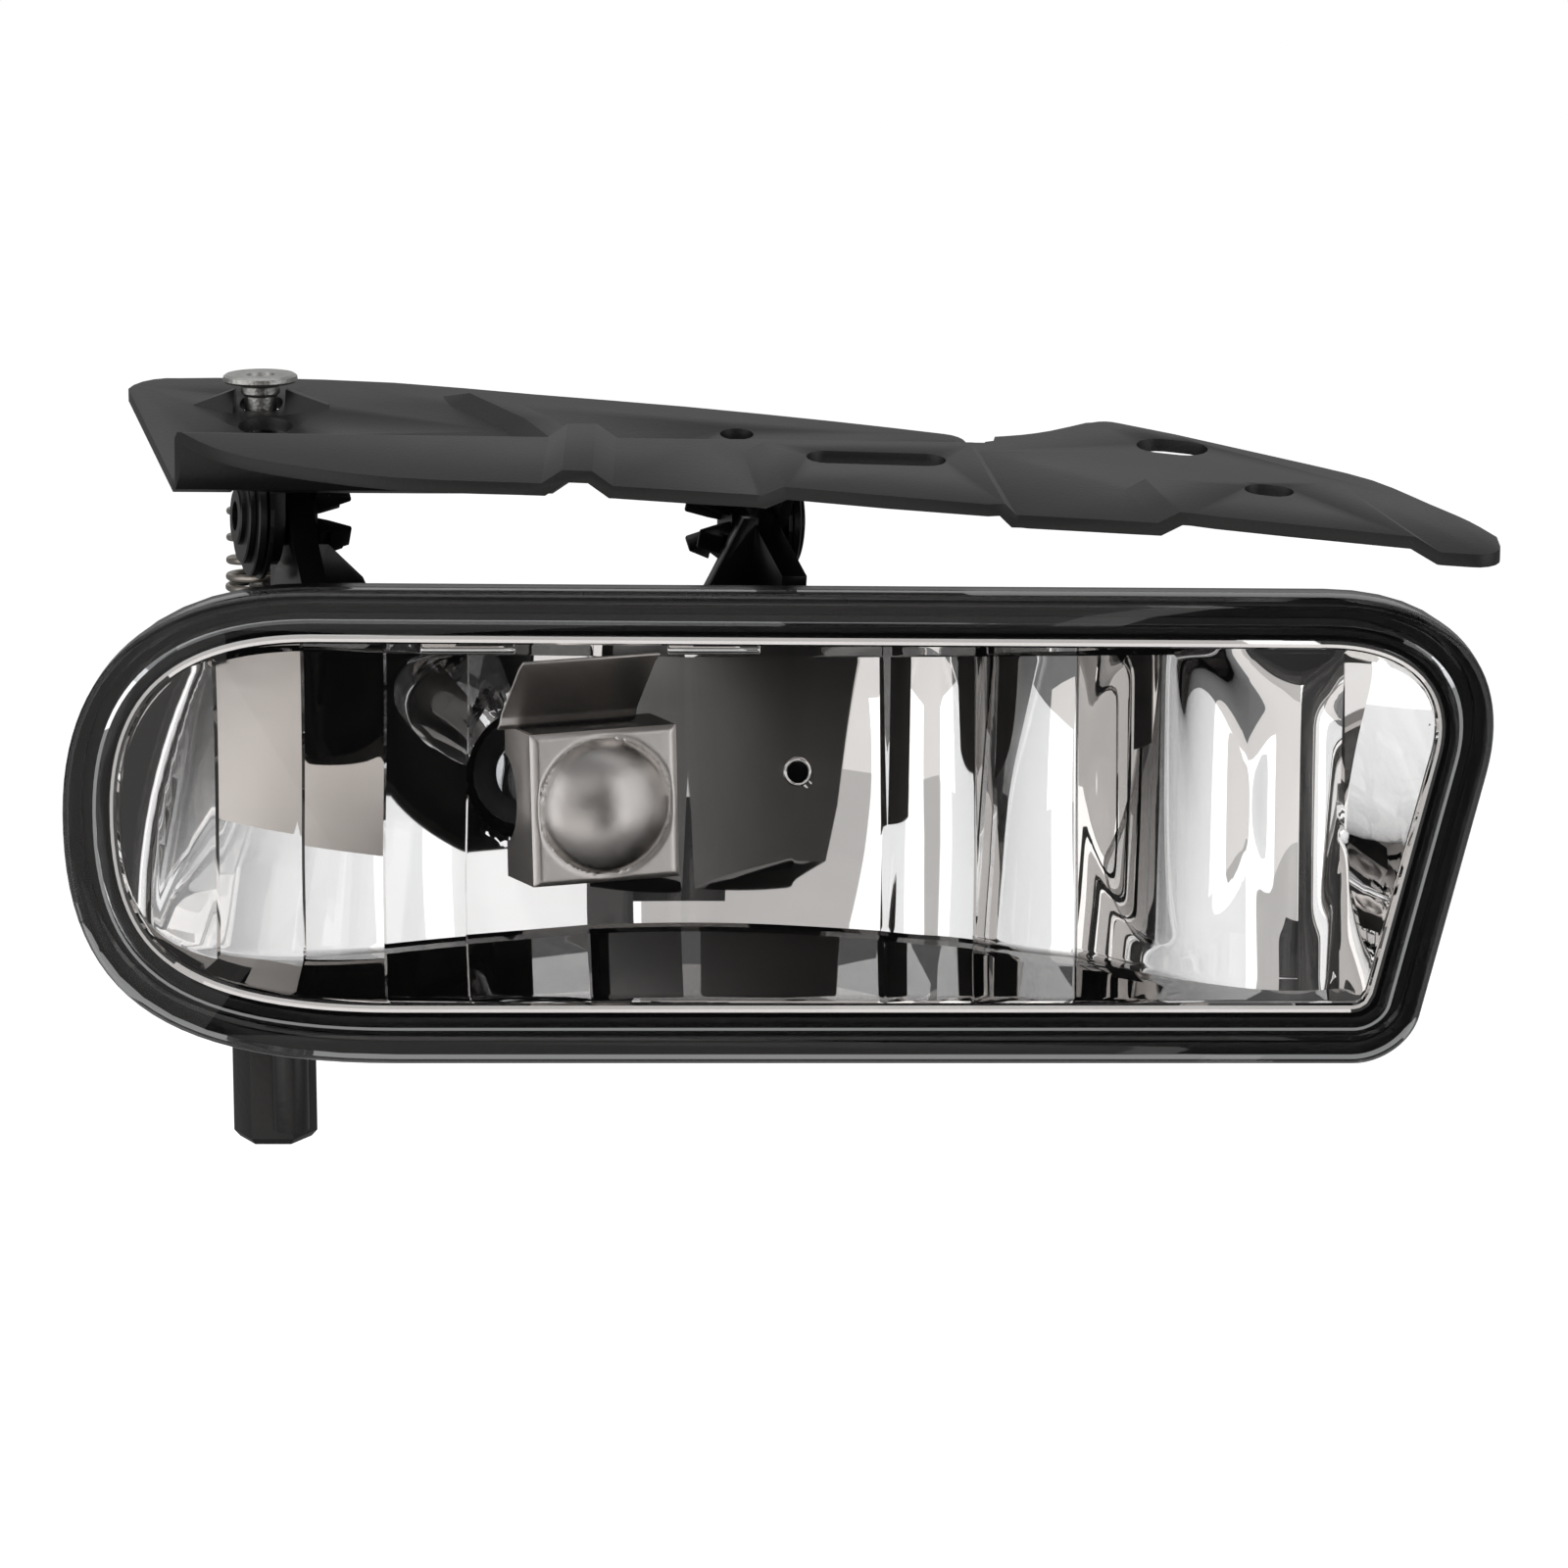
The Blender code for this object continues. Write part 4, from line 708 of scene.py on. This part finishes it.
THREAD_START, THREAD_PITCH, THREAD_TURNS, THREAD_STEPS = -4.5, 1.0, 54, 20
THREAD_SECTION = ((2.55, -0.42), (2.95, 0.0), (2.55, 0.42))         # radius, rise
thread_points, thread_faces = [], []
for i in range(THREAD_TURNS * THREAD_STEPS + 1):
    turn = 2 * pi * i / THREAD_STEPS
    level = THREAD_START + THREAD_PITCH * i / THREAD_STEPS
    for radius, rise in THREAD_SECTION:
        thread_points.append(Vector((radius * cos(turn), radius * sin(turn), level + rise)) * MM)
    if i:
        k = 3 * i
        thread_faces += [(k - 3, k, k + 1, k - 2), (k - 2, k + 1, k + 2, k - 1), (k - 1, k + 2, k, k - 3)]
last = 3 * THREAD_TURNS * THREAD_STEPS
thread_faces += [(0, 1, 2), (last + 2, last + 1, last)]
thread_data = bpy.data.meshes.new("screw_thread")
thread_data.from_pydata(thread_points, [], thread_faces)
settle(added("screw_thread", thread_data), screw_frame, zinc, "screw", "zinc_plate")

SPRING_LOW, SPRING_HIGH, SPRING_COILS, COIL_STEPS, WIRE = 24.35, 52.35, 8.5, 32, 0.72
FOOT_RADIUS, TAPER, END_CROWDING = 6.4, 0.9, 0.55
coil = bpy.data.curves.new("spring_coil", "CURVE")
coil.dimensions = "3D"
coil.bevel_depth, coil.bevel_resolution, coil.use_fill_caps = WIRE * MM, 4, True
spline = coil.splines.new("POLY")
spline.points.add(int(SPRING_COILS * COIL_STEPS))
for i, point in enumerate(spline.points):
    t = i / (len(spline.points) - 1)
    turn = 2 * pi * i / COIL_STEPS
    radius = FOOT_RADIUS - TAPER * t
    eased = t - END_CROWDING * sin(2 * pi * t) / (2 * pi)
    level = SPRING_LOW + WIRE + (SPRING_HIGH - SPRING_LOW - 2 * WIRE) * eased
    point.co = (*(Vector((radius * cos(turn), radius * sin(turn), level)) * MM), 1.0)
added("coil_spring", coil)
bpy.ops.object.convert(target="MESH")
spring = bpy.context.object
bpy.ops.object.shade_smooth()
spring.data.transform(screw_frame)
spring.data.materials.append(wire_steel)
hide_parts("adjuster_spring")
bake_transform(spring)

knob_black = grained("knob_black", (0.004, 0.004, 0.004, 1.0), (0.013, 0.0125, 0.012, 1.0), 0.36, 700.0, 0.15,
                     mottle=120.0)
eased_copy("adjuster_knob", "hex_knob", "knob", knob_black, width=0.5, segments=3,
           angle=28.0)
eased_copy("adjuster_column", "aiming_column", "lamp", knob_black, width=0.4,
           segments=3)

# ---- small parts ---------------------------------------------------------------------------------
# Seals, spring seats, bushings, fasteners, the breather, and the bulb's filament and rear parts:
# rubber, nylon, plated steel, tungsten and brass. Each keeps the frame's own shape.
KEPT = {"lens_seal": rubber, "bulb_seal": rubber, "vent_elbow": rubber, "vent_cap": nylon,
        "reflector_screw_1": zinc, "reflector_screw_2": zinc, "reflector_screw_3": zinc,
        "bulb_filament": tungsten, "bulb_base": nylon, "bulb_connector": nylon,
        "bulb_terminal_1": brass, "bulb_terminal_2": brass,
        "pivot_bushing_left": nylon, "pivot_bushing_right": nylon,
        "spring_seat_lower": nylon, "spring_seat_upper": nylon}
for node, finish in KEPT.items():
    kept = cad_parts[node]
    kept.data.materials.clear()
    kept.data.materials.append(finish)
